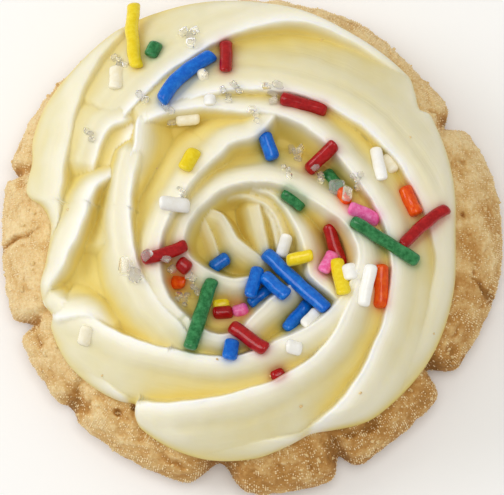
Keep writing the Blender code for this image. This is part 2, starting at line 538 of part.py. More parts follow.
def main():
    for old in list(bpy.data.objects):
        bpy.data.objects.remove(old)
    crumb = plain_material("baked_biscuit", (0.60, 0.40, 0.19), 0.85)
    cream = plain_material("butter_frosting", (0.86, 0.80, 0.60), 0.45)
    build_biscuit(crumb)
    frosting = build_frosting(cream)
    fuse_sprinkles(frosting, cream)
    frosting.data.shade_smooth()
    frosting.data.set_sharp_from_angle(angle=math.radians(SHARP_ANGLE))


main()
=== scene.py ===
"""A frosted sugar cookie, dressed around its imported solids.

Named sizes are in millimetres and MM turns them into the scene's metres, except on the stage, which is
measured in metres. +X is to the right and +Y to the far side of the cookie as the picture looks down on
it, and +Z is up.
"""

import math

import bmesh
import bpy
import numpy as np
from mathutils import Euler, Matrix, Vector, noise
from mathutils.bvhtree import BVHTree


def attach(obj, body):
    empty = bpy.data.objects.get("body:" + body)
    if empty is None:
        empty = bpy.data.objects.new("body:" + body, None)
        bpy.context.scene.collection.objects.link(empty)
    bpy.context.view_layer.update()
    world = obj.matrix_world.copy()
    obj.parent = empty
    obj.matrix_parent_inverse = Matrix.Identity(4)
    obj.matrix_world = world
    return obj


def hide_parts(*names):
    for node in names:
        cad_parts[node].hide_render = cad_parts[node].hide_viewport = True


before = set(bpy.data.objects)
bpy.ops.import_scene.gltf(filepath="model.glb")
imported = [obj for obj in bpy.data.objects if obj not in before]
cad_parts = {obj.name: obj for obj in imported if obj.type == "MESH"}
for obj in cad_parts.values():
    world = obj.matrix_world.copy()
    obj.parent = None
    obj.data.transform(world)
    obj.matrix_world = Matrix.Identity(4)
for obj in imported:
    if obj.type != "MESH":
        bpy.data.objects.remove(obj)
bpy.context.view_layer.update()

MM = 0.001

# Biscuit ---------------------------------------------------------------------------------------
BISCUIT_TOP = 10.0  # height of the flat middle of the top
BISCUIT_WIDEST = 4.2  # height at which the rim is widest
SHOULDER_WIDTH = 7.5  # how far in from the rim the top starts to fall
HEEL_WIDTH = 2.6  # how far the rim tucks in under the widest line
BISCUIT_LUMP = 0.35  # height of the soft lumps on the rim
LUMP_SIZE, LUMP_REACH = 6.5, 8.0  # their spacing, and how far in from the rim they fade out
# (direction in degrees, radius): the rim between the cracks
BISCUIT_RIM = (
    (10, 35.6), (45, 34.3), (65, 35.6), (110, 35.5), (155, 36.4), (182, 35.5),
    (215, 35.5), (240, 35.3), (280, 35.7), (308, 34.4), (332, 34.2), (350, 35.4),
)
# (direction, how far it bites into the rim, half width at the rim, reach towards the middle, drift)
CRACKS = (
    (31, 2.2, 1.5, 4.0, 6), (164, 1.3, 1.0, 4.5, -4), (182, 0.0, 0.8, 6.5, -5),
    (200.5, 2.1, 1.1, 5.0, 5), (223, 0.9, 1.5, 5.5, -4), (262, 4.2, 2.6, 7.0, 3),
    (292, 2.6, 1.2, 6.5, -5), (324, 3.6, 1.5, 6.0, 4), (346, 0.0, 0.7, 5.0, 4),
)
CRACK_DEPTH = 2.0
CRACK_WIDTH, CRACK_NARROWING = 0.7, 0.75  # share of the bite's width at the rim, and lost by its inner end
TEAR_SIZE = 1.7  # spacing of the bends in the torn edges of cracks, splits and pits
CRACK_TEAR, SPLIT_TEAR, PIT_TEAR = 0.5, 0.6, (0.4, 0.3)  # how far those edges bend, round and inwards
# Fine splits in the crust: (direction, radius, how far they run round, how far they run in, width)
SPLITS = (
    (207, 33.5, 4.5, 1.2, 0.5), (236, 29.6, 1.5, 1.6, 0.45), (233, 31.2, 1.6, 0.8, 0.4),
    (226, 32.8, 1.2, 3.4, 0.6), (251, 33.4, 7.0, 0.8, 0.9), (301, 31.4, 6.0, 0.9, 0.7),
    (296, 31.0, 2.4, 1.8, 0.6), (277, 32.5, 2.5, 1.6, 0.35), (334, 31.2, 4.0, 2.0, 0.7),
    (328, 33.0, 3.0, 1.4, 0.6), (6, 29.9, 0.8, 0.4, 0.3), (14, 32.4, 2.0, 0.5, 0.3),
    (40, 32.3, 5.0, 0.8, 0.5), (53, 33.6, 4.0, 0.7, 0.4), (172, 33.0, 2.6, 0.8, 0.4),
    (190, 32.6, 2.0, 0.9, 0.35), (343, 33.4, 3.0, 0.8, 0.45), (357, 33.2, 2.0, 0.6, 0.3),
)
SPLIT_DEPTH, SPLIT_HALF = 0.8, 0.45  # depth and half width of a split, as shares of its width
SPLIT_END = 1.4  # the larger, the more suddenly a split ends
# Pits: (direction, radius, width, depth)
PITS = (
    (225, 34.0, 1.5, 1.1), (233, 31.1, 0.45, 0.9), (236, 29.1, 0.5, 0.9), (6, 29.8, 0.3, 0.7),
    (296, 31.0, 0.7, 0.5), (302, 31.5, 0.9, 0.7), (331, 32.2, 1.0, 0.8), (166, 33.6, 0.9, 0.7),
    (206, 32.9, 1.0, 0.6), (284, 33.2, 0.4, 0.6), (351, 31.6, 0.35, 0.5), (20, 31.8, 0.35, 0.5),
)
# Relief of the crust: (height, size, octaves) of its crags and of its sandy grain
CRAGS, SANDY = (0.32, 2.7, 2), (0.12, 0.8, 3)
SMOOTH_FOOT = 1.5  # height below which that relief fades out
# How much darker the crust is made in cracks, at the foot and in its hollows; cracks and hollows are
# painted shade
CRACK_SHADE, FOOT_DARKENING, HOLLOW_SHADE = 0.55, 0.9, 1.2
FOOT_HEIGHT = 4.5  # height at which the foot's darkening ends
SHADED_SIDE = (-60, 0.58)  # direction of the side painted darker as painted shade, away from the light, and how much

# Frosting --------------------------------------------------------------------------------------
FOOT_X, FOOT_Y = -0.3, -1.3  # middle of the frosting's edge
SWIRL_X, SWIRL_Y = -0.3, -2.15  # middle of its folds
FOOT_SINK = 0.45  # how far the foot is pressed into the biscuit
# (direction, how far in from its edge the frosting has rounded over)
LIP_WIDTHS = (
    (0, 2.4), (30, 1.6), (50, 1.0), (75, 1.0), (95, 2.4), (130, 2.6), (160, 1.6), (180, 1.8),
    (200, 1.8), (230, 1.4), (238, 1.2), (262, 2.4), (285, 1.6), (320, 2.6),
)
LIP_RISE = 1.2  # height of the edge's widest line above its foot
FOOT_FLOOR = 7.6  # lowest seat of the foot, where the edge passes the biscuit's shoulder
FOOT_DIP = 6.0  # the larger, the more steeply the underside falls from a hanging foot to the biscuit
# (direction, radius) of the frosting's edge; close pairs are torn or folded ends
FROSTING_EDGE = (
    (0, 28.8), (18, 30.0), (32, 31.1), (36, 31.4), (38, 30.6), (43, 31.9), (47, 33.0), (64, 33.1),
    (75, 33.6), (93, 35.2), (107, 36.2), (118, 36.6), (132, 35.8), (145, 35.2), (154, 34.1),
    (160, 32.7), (166, 32.4), (168, 31.6), (169.2, 30.0), (172, 28.6), (176, 27.9), (185, 28.6),
    (192, 29.9), (196, 30.0), (200.5, 29.3), (203, 30.1), (212, 30.4), (224, 29.5), (231, 28.5),
    (235, 27.6), (236.6, 28.9), (240, 30.0), (257, 30.8), (271, 30.1), (281, 28.8), (288, 28.0),
    (293, 28.5), (306, 29.9), (323, 29.9), (345, 29.3),
)
# Folds of the swirl: width of the flat band beside the crest, roundness of the shoulder past it, the
# slope from there on and the height of the wall, at the fold's start and at its end, and the crest's
# stations (direction, radius, height, crispness). Each has its wall to the left of its run, and most
# run anticlockwise, with the wall towards the middle.
FOLDS = {
    "rim_top": ((0.2, 1.6, 1.0, 2.0), (2.4, 1.6, 1.0, 3.0), (
        (45, 32.0, 12.0, 0.1), (50, 32.4, 13.0, 0.2), (75, 32.2, 17.0, 1.0), (90, 30.1, 18.0, 1.0),
        (104, 27.6, 18.8, 1.0), (127, 25.1, 19.0, 1.0), (136, 24.6, 18.6, 1.0),
    )),
    "right_lobe": ((1.6, 2.6, 0.9, 4.0), (2.4, 1.2, 0.9, 4.0), (
        (285, 26.8, 12.2, 0.0), (306, 26.1, 14.9, 0.1), (327, 25.7, 16.2, 0.2), (354, 25.9, 16.9, 0.3),
        (361, 25.2, 17.4, 0.5), (388, 23.1, 19.0, 1.0), (431, 21.2, 20.6, 1.0), (450, 20.9, 20.6, 1.0),
        (479, 21.2, 19.8, 1.0), (491, 22.0, 19.2, 1.0),
    )),
    "lower_lobe": ((0.6, 2.8, 1.1, 4.0), (0.6, 1.0, 1.1, 4.0), (
        (237, 27.3, 12.0, 0.0), (255, 27.6, 13.8, 0.0), (272, 27.2, 14.4, 0.1), (284, 27.6, 15.6, 0.5),
        (292, 26.5, 17.3, 0.9), (321, 22.2, 19.8, 1.0), (355, 19.3, 20.9, 1.0), (399, 16.6, 21.3, 1.0),
        (439, 17.6, 21.1, 1.0), (450, 17.6, 21.0, 1.0), (474, 19.9, 20.5, 1.0), (489, 21.7, 19.6, 1.0),
    )),
    "left_lobe": ((0.4, 2.8, 1.1, 4.0), (0.4, 1.2, 1.1, 4.0), (
        (204, 28.0, 12.0, 0.0), (220, 27.4, 13.6, 0.2), (233, 27.5, 15.4, 0.6), (239, 26.1, 17.0, 0.9),
        (247, 24.3, 18.4, 1.0), (268, 21.0, 19.8, 1.0), (308, 17.8, 21.6, 1.0), (329, 16.1, 22.4, 1.0),
        (336, 15.9, 22.2, 1.0),
    )),
    "spiral": ((0.6, 2.4, 1.1, 4.0), (0.5, 1.0, 1.1, 9.0), (
        (196, 27.3, 15.0, 0.2), (202, 25.1, 16.5, 0.5), (218, 21.6, 18.6, 1.0), (243, 17.9, 20.4, 1.0),
        (261, 16.8, 21.0, 1.0), (289, 14.8, 21.7, 1.0), (346, 15.1, 22.3, 1.0), (397, 9.5, 21.5, 1.0),
        (460, 7.7, 20.8, 1.0), (501, 7.9, 20.5, 1.0), (544, 9.1, 20.1, 1.0), (583, 6.7, 18.8, 1.0),
        (629, 4.9, 17.2, 1.0),
    )),
    "left_band": ((2.0, 0.4, 3.2, 4.0), (2.2, 2.2, 1.2, 4.0), (
        (143, 19.1, 20.2, 0.3), (153, 18.0, 20.6, 0.8), (174, 16.4, 20.8, 1.0), (227, 15.0, 20.0, 1.0),
        (240, 15.7, 19.2, 1.0),
    )),
    "inner_ring": ((0.9, 1.4, 1.1, 4.0), (0.9, 1.2, 1.1, 4.0), (
        (78, 17.8, 20.6, 0.8), (83, 15.3, 20.9, 0.9), (90, 13.9, 21.0, 1.0), (101, 13.3, 21.2, 1.0),
        (111, 12.0, 21.5, 1.0), (148, 10.9, 21.7, 1.0), (209, 13.4, 20.7, 1.0), (228, 13.8, 19.8, 1.0),
    )),
    "hollow_rim": ((0.3, 0.8, 1.2, 6.0), (0.3, 0.8, 1.2, 7.0), (
        (324, 14.8, 20.8, 0.8), (329, 9.7, 19.6, 1.0), (389, 6.6, 18.7, 1.0), (460, 7.4, 18.6, 1.0),
        (512, 8.9, 18.0, 1.0),
    )),
    "hollow_inner": ((0.3, 0.7, 1.4, 6.0), (0.3, 0.7, 1.4, 6.0), (
        (358, 4.6, 15.6, 0.8), (384, 4.5, 16.4, 1.0), (433, 5.7, 17.4, 1.0), (506, 7.8, 17.2, 0.9),
        (519, 8.3, 16.8, 0.9),
    )),
    "lower_inner": ((0.6, 1.4, 1.1, 4.0), (0.6, 1.2, 1.1, 4.0), (
        (227, 13.8, 19.2, 0.8), (248, 14.1, 20.0, 1.0), (263, 12.9, 20.0, 1.0), (270, 11.2, 19.8, 1.0),
        (294, 8.5, 18.8, 1.0), (312, 8.3, 18.2, 1.0),
    )),
    "flap": ((0.4, 1.6, 1.0, 4.0), (0.4, 1.6, 1.0, 4.0), (
        (121, 35.7, 13.4, 0.1), (136, 32.3, 15.6, 0.4), (153, 28.7, 16.0, 0.5), (174, 26.8, 14.4, 0.4),
        (184, 27.9, 12.6, 0.2),
    )),
    "torn_upper": ((1.6, 1.4, 1.0, 3.0), (1.6, 1.4, 1.0, 3.0), (
        (136, 24.2, 18.8, 0.8), (141, 25.1, 18.4, 0.8), (153, 24.2, 17.2, 0.8),
    )),
    "torn_lower": ((0.3, 0.7, 1.4, 4.0), (0.3, 0.9, 1.2, 4.0), (
        (152, 20.6, 18.0, 1.0), (162, 22.6, 19.0, 1.0), (170, 22.9, 18.6, 0.9), (186, 25.7, 16.6, 0.8),
        (191, 28.2, 13.8, 0.6),
    )),
    "left_lip": ((0.5, 1.6, 1.0, 4.0), (0.5, 1.6, 1.0, 4.0), (
        (180, 18.8, 19.4, 0.1), (168, 18.9, 19.6, 0.4), (142, 20.2, 20.0, 1.0), (133, 22.7, 19.4, 1.0),
    )),
    "torn_patch": ((3.2, 1.6, 1.0, 3.0), (3.2, 1.6, 1.0, 3.0), (
        (131, 23.2, 17.6, 0.8), (149, 21.2, 17.0, 1.0), (155, 21.1, 16.2, 0.9),
    )),
    "peak": ((0.8, 1.4, 1.2, 3.0), (1.2, 1.4, 1.2, 3.0), (
        (212, 22.6, 16.6, 0.2), (205, 24.2, 17.2, 0.8), (201, 28.4, 15.2, 0.9), (196, 29.7, 13.0, 0.9),
    )),
}
# Pleats in the bottom of the hollow, shaped as the folds are, with stations (x, y, height, crispness)
# from the folds' middle
PLEATS = {
    "pleat_long": ((0.5, 0.9, 1.0, 6.0), (0.5, 0.9, 1.0, 6.0), (
        (-5.8, 4.6, 17.2, 0.9), (-4.0, 4.0, 17.0, 1.0), (-1.6, 0.5, 16.2, 0.9), (1.8, -2.0, 15.0, 0.8),
    )),
    "pleat_left": ((0.4, 0.8, 1.2, 6.0), (0.4, 0.8, 1.2, 6.0), (
        (-6.2, 3.6, 16.8, 0.8), (-5.5, 1.9, 16.0, 1.0), (-4.3, -1.2, 14.6, 0.8),
    )),
    "pleat_mid": ((1.4, 0.5, 2.0, 6.0), (0.8, 0.5, 2.0, 6.0), (
        (1.3, 5.1, 17.0, 1.0), (1.7, 2.9, 16.4, 0.9), (2.5, -0.8, 14.8, 0.8),
    )),
    "pleat_right": ((0.4, 0.6, 1.6, 6.0), (0.4, 0.6, 1.6, 6.0), (
        (3.8, -0.4, 14.8, 1.0), (2.9, 3.1, 16.4, 1.0), (2.2, 4.6, 16.8, 1.0),
    )),
}
STEEP = (0.6, 4.5)  # slope of a fold's left side, soft and crisp
STEEP_ROUND = (1.6, 0.22)  # and its rounding at the crest
SOFT_WALL = 6.0  # height of the steep part where the crest is soft
WALL_FOOT = 0.6  # slope of the scooped foot of the wall
SOFT_SLOPE = 1.35  # slope of its right side where the crest is soft
GROOVE = (3.3, 0.8, 0.32)  # of a fold's soft second groove: distance from the crest, half width, depth
GROOVE_WANDER = (0.5, 0.12)  # how far that groove strays, and how often in each millimetre along it
# Drag lines of the piping tip: (height, width, width as a share of their length, octaves)
DRAG_LINES = ((0.03, 0.7, 0.05, 2), (0.13, 1.9, 0.04, 1))
CREST_HIGHLIGHT = (0.28, 1.15)  # how far the painted highlight along a crest reaches to its left and right
# Share of that painted highlight left near the middle, and the radii between which it comes back
HIGHLIGHT_INSIDE, HIGHLIGHT_FADE = 0.45, (9.0, 23.0)
BURR = (0.32, 0.18)  # width and height of the fine lip that the tip's teeth drag up on a crisp crest
RAGGED = (1.9, 0.12)  # length and height of the nicks along that lip
WAVER = (3.0, 0.16)  # size and reach of the swirl's small irregularities
BAND_FALL = 0.07  # the band's own slope
VALLEY_SOFT = 0.16  # rounding where two folds meet
END_SLOPE, END_ROUND = 1.4, 0.5  # how a crest falls away past its ends
FOLD_REACH, FAR_BELOW = 12.0, -50.0  # further than this from its crest a fold lies far below the others
VALLEY_BLUR = (1.6, 3.6)  # reaches over which a point's height is compared with what lies around it, for the painted shade
VALLEY_SPAN = 4.0  # difference in height between the crest painted palest and the hollow painted yellowest, in that painted shade
RIM_LEVEL = 9.0  # height taken for the biscuit round the frosting, in that comparison
# (radius, height) of the swirl's body under its folds
BODY_HEIGHT = ((0, 11.6), (5, 12.2), (9, 15.4), (14, 16.4), (19, 16.2), (24, 13.4), (29, 10.8), (37, 9.0))

# Sprinkles ---------------------------------------------------------------------------------------
SPRINKLE_RADIUS = 0.95
SPRINKLE_TIP = 0.65  # length of its rounded end, in radii
SPRINKLE_FULLNESS = 0.62  # the smaller, the blunter that end
SPRINKLE_TILT = 0.6  # steepest a sprinkle lies
SPRINKLE_UNEVEN = (0.08, 1.6)  # by how much its thickness varies, and the size of the bulges
SPRINKLE_SWAY = (0.16, 2.4)  # how far it strays from straight, and over what length
# (colour, x, y, heading in degrees, length, bend, and how many radii it is pressed in), each lying on
# those before it
SPRINKLES = (
    ("yellow", -16.3, 27.6, 94, 11.1, 0.18, 0.35), ("red", 23.7, -0.4, 42, 8.9, 0.14, 0.45),
    ("green", 18.1, -2.8, 150, 10.7, 0.00, 0.45), ("green", -6.9, -12.6, 73, 10.6, 0.02, 0.45),
    ("blue", -8.9, 20.3, 44, 10.2, 0.34, 0.45), ("blue", 6.2, -12.5, 52, 5.2, 0.00, 0.45),
    ("blue", 1.4, -9.3, 38, 4.5, 0.00, 0.45), ("blue", 0.3, -7.8, 77, 4.8, 0.00, 0.45),
    ("blue", 3.1, -8.4, 135, 5.0, 0.00, 0.45), ("blue", 6.0, -7.6, 134, 12.4, 0.02, 0.45),
    ("red", 7.1, 16.5, 167, 6.6, -0.04, 0.45), ("red", -11.9, -4.3, 21, 6.6, -0.12, 0.45),
    ("red", 11.4, -2.8, 108, 6.2, 0.04, 0.60), ("red", -0.5, -16.0, 142, 6.3, 0.00, 0.45),
    ("orange", 17.6, -8.8, 89, 5.9, 0.00, 0.45), ("white", 15.6, -9.0, 79, 5.9, 0.00, 0.45),
    ("green", 11.5, 5.8, 126, 4.8, 0.00, 0.80), ("red", 9.5, 9.0, 40, 5.1, 0.00, 0.45),
    ("yellow", 11.9, -7.6, 100, 5.7, 0.00, 0.45), ("white", -10.5, 2.1, 180, 4.2, 0.00, 0.40),
    ("red", -3.6, 23.6, 90, 5.2, 0.00, 0.45), ("white", 17.4, 8.4, 99, 5.2, 0.00, 0.45),
    ("pink", 15.3, 1.1, 160, 4.5, -0.05, 0.45), ("orange", 21.8, 3.4, 113, 4.5, 0.06, 0.45),
    ("blue", 2.3, 10.8, 108, 4.0, 0.00, 0.45), ("yellow", 6.5, -4.7, 8, 3.7, 0.00, 0.45),
    ("green", 5.7, 3.4, 143, 3.6, 0.00, 0.45), ("blue", -4.5, -4.6, 30, 3.0, 0.00, 0.45),
    ("yellow", -8.5, 8.5, 66, 3.6, 0.00, 0.45), ("green", -13.7, 24.9, 69, 2.6, 0.00, 0.50),
    ("pink", 10.4, -5.3, 66, 3.6, 0.00, 0.45), ("white", 4.4, -2.5, 75, 3.1, 0.00, 0.50),
    ("white", 8.1, -13.2, 48, 3.3, 0.00, 0.45), ("blue", -2.9, -17.6, 77, 3.1, 0.00, 0.45),
    ("cream", 19.0, 8.8, 115, 2.9, 0.00, 0.95), ("red", -4.0, -11.8, 10, 2.8, 0.00, 0.75),
    ("pink", -1.6, -11.4, 17, 2.3, 0.00, 0.95), ("white", 5.7, -17.4, 170, 2.3, 0.00, 0.75),
    ("red", -9.3, -5.9, 144, 2.1, 0.00, 0.60), ("orange", -10.1, -7.7, 169, 2.1, 0.00, 0.80),
    ("red", 3.5, -20.8, 28, 2.0, 0.00, 1.00), ("orange", 12.6, 3.6, 110, 2.6, 0.00, 1.00),
    ("cream", -8.9, 15.1, 4, 3.4, 0.00, 1.05), ("cream", -18.9, 21.1, 88, 3.9, 0.00, 1.15),
    ("cream", -22.8, -15.1, 72, 2.6, 0.00, 1.10), ("white", -5.8, 17.1, 90, 1.8, 0.00, 0.90),
    ("yellow", -4.2, -10.6, 12, 2.3, 0.00, 1.10), ("cream", -6.8, 20.8, 17, 1.5, 0.00, 1.25),
    ("white", 13.3, -7.0, 104, 2.5, 0.00, 0.90),
)
DYE_SHARE, DYE_REACH = 0.5, 0.45  # how much dye a sprinkle gives to the frosting, and how far
DYE_END = 0.8  # how far short of a sprinkle's ends the line stops that its dye spreads from

# Sugar and crumbs --------------------------------------------------------------------------------
# Clear coarse sugar: (x, y, number of crystals, size)
SUGAR = (
    (-8.6, 26.7, 4, 1.1), (-18.6, 23.9, 3, 0.9), (-17.6, 22.9, 2, 0.7), (-22.3, 12.9, 3, 0.8),
    (-14.8, 17.5, 2, 1.0), (-11.2, 15.6, 3, 0.9), (-6.5, 20.8, 1, 0.8), (-3.3, 17.9, 3, 1.0),
    (-1.7, 18.5, 2, 1.0), (2.8, 18.2, 4, 1.3), (6.2, 10.4, 4, 1.0), (5.0, 7.3, 3, 0.9),
    (9.4, 6.9, 3, 1.0), (12.9, 3.7, 2, 1.8), (14.4, 5.8, 4, 0.9), (-16.0, -7.3, 2, 1.8),
    (-14.3, -5.0, 1, 1.4), (-10.9, -6.1, 2, 1.2), (-8.1, -7.5, 3, 0.9), (-9.4, -10.0, 5, 0.9),
    (-7.4, -9.0, 2, 0.8), (-9.5, 4.1, 3, 0.6), (0.6, 15.0, 3, 0.9),
)
CLUSTER_SPACING, CLUSTER_TURN = 0.95, 2.4  # from the first crystal to the others, in sizes, and their turn
CRYSTAL_SEAT, CRUMB_SEAT = 0.28, 0.2  # how far a middle stands off what it lies on, in its sizes
CRYSTAL_SPREAD = (0.8, 1.1)  # smallest and largest crystal, as shares of the cluster's size
BLOCK_SIDES = (0.7, 1.25)  # shortest and longest side of a crystal, grain or crumb, in its sizes
CRYSTAL_WEAR, GRAIN_WEAR, CRUMB_WEAR = 0.17, 0.0, 0.25  # bevel of a block's edges, as a share of its size
CRYSTAL_KNOCK, CRUMB_KNOCK = 0.12, 0.16  # how far its corners are knocked about
# Biscuit crumbs fallen on the frosting: (x, y, size)
CRUMBS = (
    (-4.7, -18.9, 0.34), (6.7, -24.9, 0.40), (14.7, -23.2, 0.36), (2.5, -21.0, 0.28), (-13.1, 8.1, 0.24),
    (-20.6, -20.3, 0.30), (21.9, 12.4, 0.26), (-25.5, 2.6, 0.34), (9.8, 27.2, 0.26), (25.0, -14.6, 0.30),
)
LOOSE_CRUMBS, CRUMB_SIZES = 160, (0.25, 0.60)  # on the biscuit's rim

# Fineness ---------------------------------------------------------------------------------------
BISCUIT_SPOKES = 700
BISCUIT_RINGS = (10, 78, 40, 8)  # on the covered top, the shoulder, the heel and the underside
FROSTING_SPOKES = 520
FROSTING_RINGS = (168, 8, 12)  # on the top, the lip and the underside
LINE_STEP = 0.35  # spacing of the points worked out along a crest
GRID_STEP, GRID_HALF = 0.35, 42.0  # spacing and half width of the grid that valleys are measured on
EDGE_CROWDING = 1.2  # above 1, the frosting's rings crowd towards its edge
ROD_SIDES, ROD_RINGS, TIP_RINGS = 18, 24, 6  # of a sprinkle, with the rings that each end takes
FEELERS = 9  # points along a sprinkle at which what lies under it is read
OVERHEAD = 60.0  # height from which that is read
SUGAR_GRAINS, GRAIN_SIZES = 12000, (0.06, 0.18)  # on the biscuit
GRAIN_DRIFT = (3.0, 1.8)  # size of the drifts that the grains lie in, and how marked they are
GRAIN_SEAT = 0.15  # how far a grain's middle stands off the crust, in its sizes
BARE_RADIUS, BARE_FOOT = 26.5, 1.2  # no grains lie inside this radius or below this height
CRUMB_RADIUS, CRUMB_FOOT = 30.0, 5.0  # nor loose crumbs inside this one or below this
OCTAVE_FADE = 0.9  # the larger, the weaker the noise is with each octave
# Seeds of the noise: of the rim's lumps, its torn edges and the swirl's waver in x and in y
LUMP_SEED, TEAR_SEED, WAVER_SEEDS = 3.0, 9.0, (2.0, 8.0)
# Steps between the seeds of one fold and the next, of its nicks and its drag lines, and between those
# of the coarse and the fine drag lines
NICK_SEEDS, DRAG_SEEDS, LINE_SEEDS = 3.7, 7.0, 3.0
# Steps between the seeds of one sprinkle and the next, of its thickness, its bulges and its sway
GIRTH_SEEDS, BULGE_SEEDS, SWAY_SEEDS = 5.0, 5.1, 3.3
CHANCE = np.random.default_rng(7)


# Measuring ---------------------------------------------------------------------------------------
def smooth_run(at, value, where):
    """Monotone cubic through (at, value): it never swings past a station."""
    at, value = np.asarray(at, float), np.asarray(value, float)
    step = np.diff(at)
    rise = np.diff(value) / step
    slope = np.zeros_like(value)
    slope[0], slope[-1] = rise[0], rise[-1]
    same = rise[:-1] * rise[1:] > 0
    near, far = 2 * step[1:] + step[:-1], step[1:] + 2 * step[:-1]
    with np.errstate(divide="ignore", invalid="ignore"):
        harmonic = (near + far) / (near / rise[:-1] + far / rise[1:])
    slope[1:-1] = np.where(same, harmonic, 0.0)
    k = np.clip(np.searchsorted(at, where) - 1, 0, len(step) - 1)
    t = (where - at[k]) / step[k]
    t2, t3 = t * t, t * t * t
    return (
        (2 * t3 - 3 * t2 + 1) * value[k] + (t3 - 2 * t2 + t) * step[k] * slope[k]
        + (3 * t2 - 2 * t3) * value[k + 1] + (t3 - t2) * step[k] * slope[k + 1]
    )


def smooth_ring(stations, angles):
    """Value at each angle, read round a closed run of (degrees, value) stations."""
    at, value = zip(*stations)
    turns = np.concatenate([np.array(at) - 360.0, at, np.array(at) + 360.0])
    return smooth_run(turns, np.tile(value, 3), np.mod(angles, 360.0))


def angle_gap(a, b):
    """Signed difference of two directions, in degrees."""
    return np.mod(a - b + 180.0, 360.0) - 180.0


def rough(x, y, z, size, octaves=1):
    """Noise from about -1 to 1 with features of that size, half as large with each octave."""
    points = np.stack([x, y, z], axis=1) / size
    return np.array([noise.fractal(Vector(p), OCTAVE_FADE, 2.0, octaves) for p in points])


def lumps(x, y, size, seed):
    """Soft noise from -1 to 1 at each point of the plane."""
    return np.array([noise.noise(Vector((a / size, b / size, seed))) for a, b in zip(x, y)])


# Mesh making -------------------------------------------------------------------------------------
def ball(spokes, rings):
    """A round closed mesh, with the spoke angle and the ring number of each of its vertices."""
    mesh = bmesh.new()
    bmesh.ops.create_grid(mesh, x_segments=spokes, y_segments=rings, size=1.0)
    for vert in mesh.verts:
        turn, drop = math.pi * vert.co.x, math.pi / 2 * (1.0 - vert.co.y)
        vert.co = (math.sin(drop) * math.cos(turn), math.sin(drop) * math.sin(turn), math.cos(drop))
    seam = [v for v in mesh.verts if v.is_boundary]
    bmesh.ops.remove_doubles(mesh, verts=seam, dist=1e-5)
    co = np.array([v.co for v in mesh.verts])
    ring = np.rint(np.arccos(np.clip(co[:, 2], -1, 1)) / math.pi * rings)
    spoke = np.degrees(np.arctan2(co[:, 1], co[:, 0])) % 360.0
    return mesh, spoke, ring


def place(mesh, x, y, z):
    """Moves the vertices to those places in millimetres."""
    for vert, a, b, c in zip(mesh.verts, x, y, z):
        vert.co = (a * MM, b * MM, c * MM)


def finish(mesh, name, material):
    """Makes the bmesh a smooth-shaded piece of that name and finish, which rides on the cookie."""
    bmesh.ops.recalc_face_normals(mesh, faces=mesh.faces[:])
    data = bpy.data.meshes.new(name)
    mesh.to_mesh(data)
    mesh.free()
    data.materials.append(material)
    data.shade_smooth()
    piece = bpy.data.objects.new(name, data)
    bpy.context.scene.collection.objects.link(piece)
    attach(piece, "root")
    return piece


def paint(piece, name, values):
    """Stores one number or one colour for each vertex of the piece."""
    values = np.asarray(values, np.float32)
    if values.ndim == 1:
        layer = piece.data.attributes.new(name, "FLOAT", "POINT")
        layer.data.foreach_set("value", values)
    elif values.shape[1] == 3:
        layer = piece.data.attributes.new(name, "FLOAT_VECTOR", "POINT")
        layer.data.foreach_set("vector", values.ravel())
    else:
        layer = piece.data.attributes.new(name, "FLOAT_COLOR", "POINT")
        layer.data.foreach_set("color", values.ravel())


def corners(piece):
    """The piece's vertices in millimetres."""
    co = np.empty(len(piece.data.vertices) * 3, np.float32)
    piece.data.vertices.foreach_get("co", co)
    return co.reshape(-1, 3).astype(float) / MM


# Biscuit -----------------------------------------------------------------------------------------
def biscuit_rim(angles):
    """Radius of the biscuit's widest line, bitten into by the cracks."""
    radius = smooth_ring(BISCUIT_RIM, angles)
    for at, bite, half, _reach, _drift in CRACKS:
        off = np.radians(np.abs(angle_gap(angles, at))) * radius
        radius = radius - bite * np.exp(-((off / half) ** 2))
    return radius


def biscuit_top(radius, rim):
    """Height of the biscuit's smooth top at a radius, under a rim of that size."""
    out = np.clip((radius - (rim - SHOULDER_WIDTH)) / SHOULDER_WIDTH, 0.0, 1.0)
    return BISCUIT_WIDEST + (BISCUIT_TOP - BISCUIT_WIDEST) * np.sqrt(1.0 - out * out)


def crack_depth(angles, radius, rim, waver):
    """How deep the cracks, splits and pits cut the rim's upper side."""
    depth = np.zeros_like(radius)
    for at, _bite, half, reach, drift in CRACKS:
        inward = np.clip((rim - radius) / reach, 0.0, 1.0)
        off = np.radians(angle_gap(angles, at + drift * inward)) * radius + CRACK_TEAR * waver
        width = half * (1.0 - CRACK_NARROWING * inward) * CRACK_WIDTH
        depth += CRACK_DEPTH * (1.0 - inward) * np.exp(-((off / width) ** 2))
    for at, middle, sideways, inward, width in SPLITS:
        along = np.radians(angle_gap(angles, at)) * radius
        across = radius - middle
        length = math.hypot(sideways, inward)
        slant = (along * inward - across * sideways) / length + SPLIT_TEAR * waver
        run = (along * sideways + across * inward) / length
        fade = np.clip(SPLIT_END * (1.0 - np.abs(run) / (0.5 * length)), 0.0, 1.0)
        depth += SPLIT_DEPTH * width * fade * np.exp(-((slant / (SPLIT_HALF * width)) ** 2))
    for at, middle, width, deep in PITS:
        along = np.radians(angle_gap(angles, at)) * radius
        gap = np.hypot(along + PIT_TEAR[0] * waver, radius - middle + PIT_TEAR[1] * waver)
        depth += deep * np.exp(-((gap / width) ** 4))
    return depth


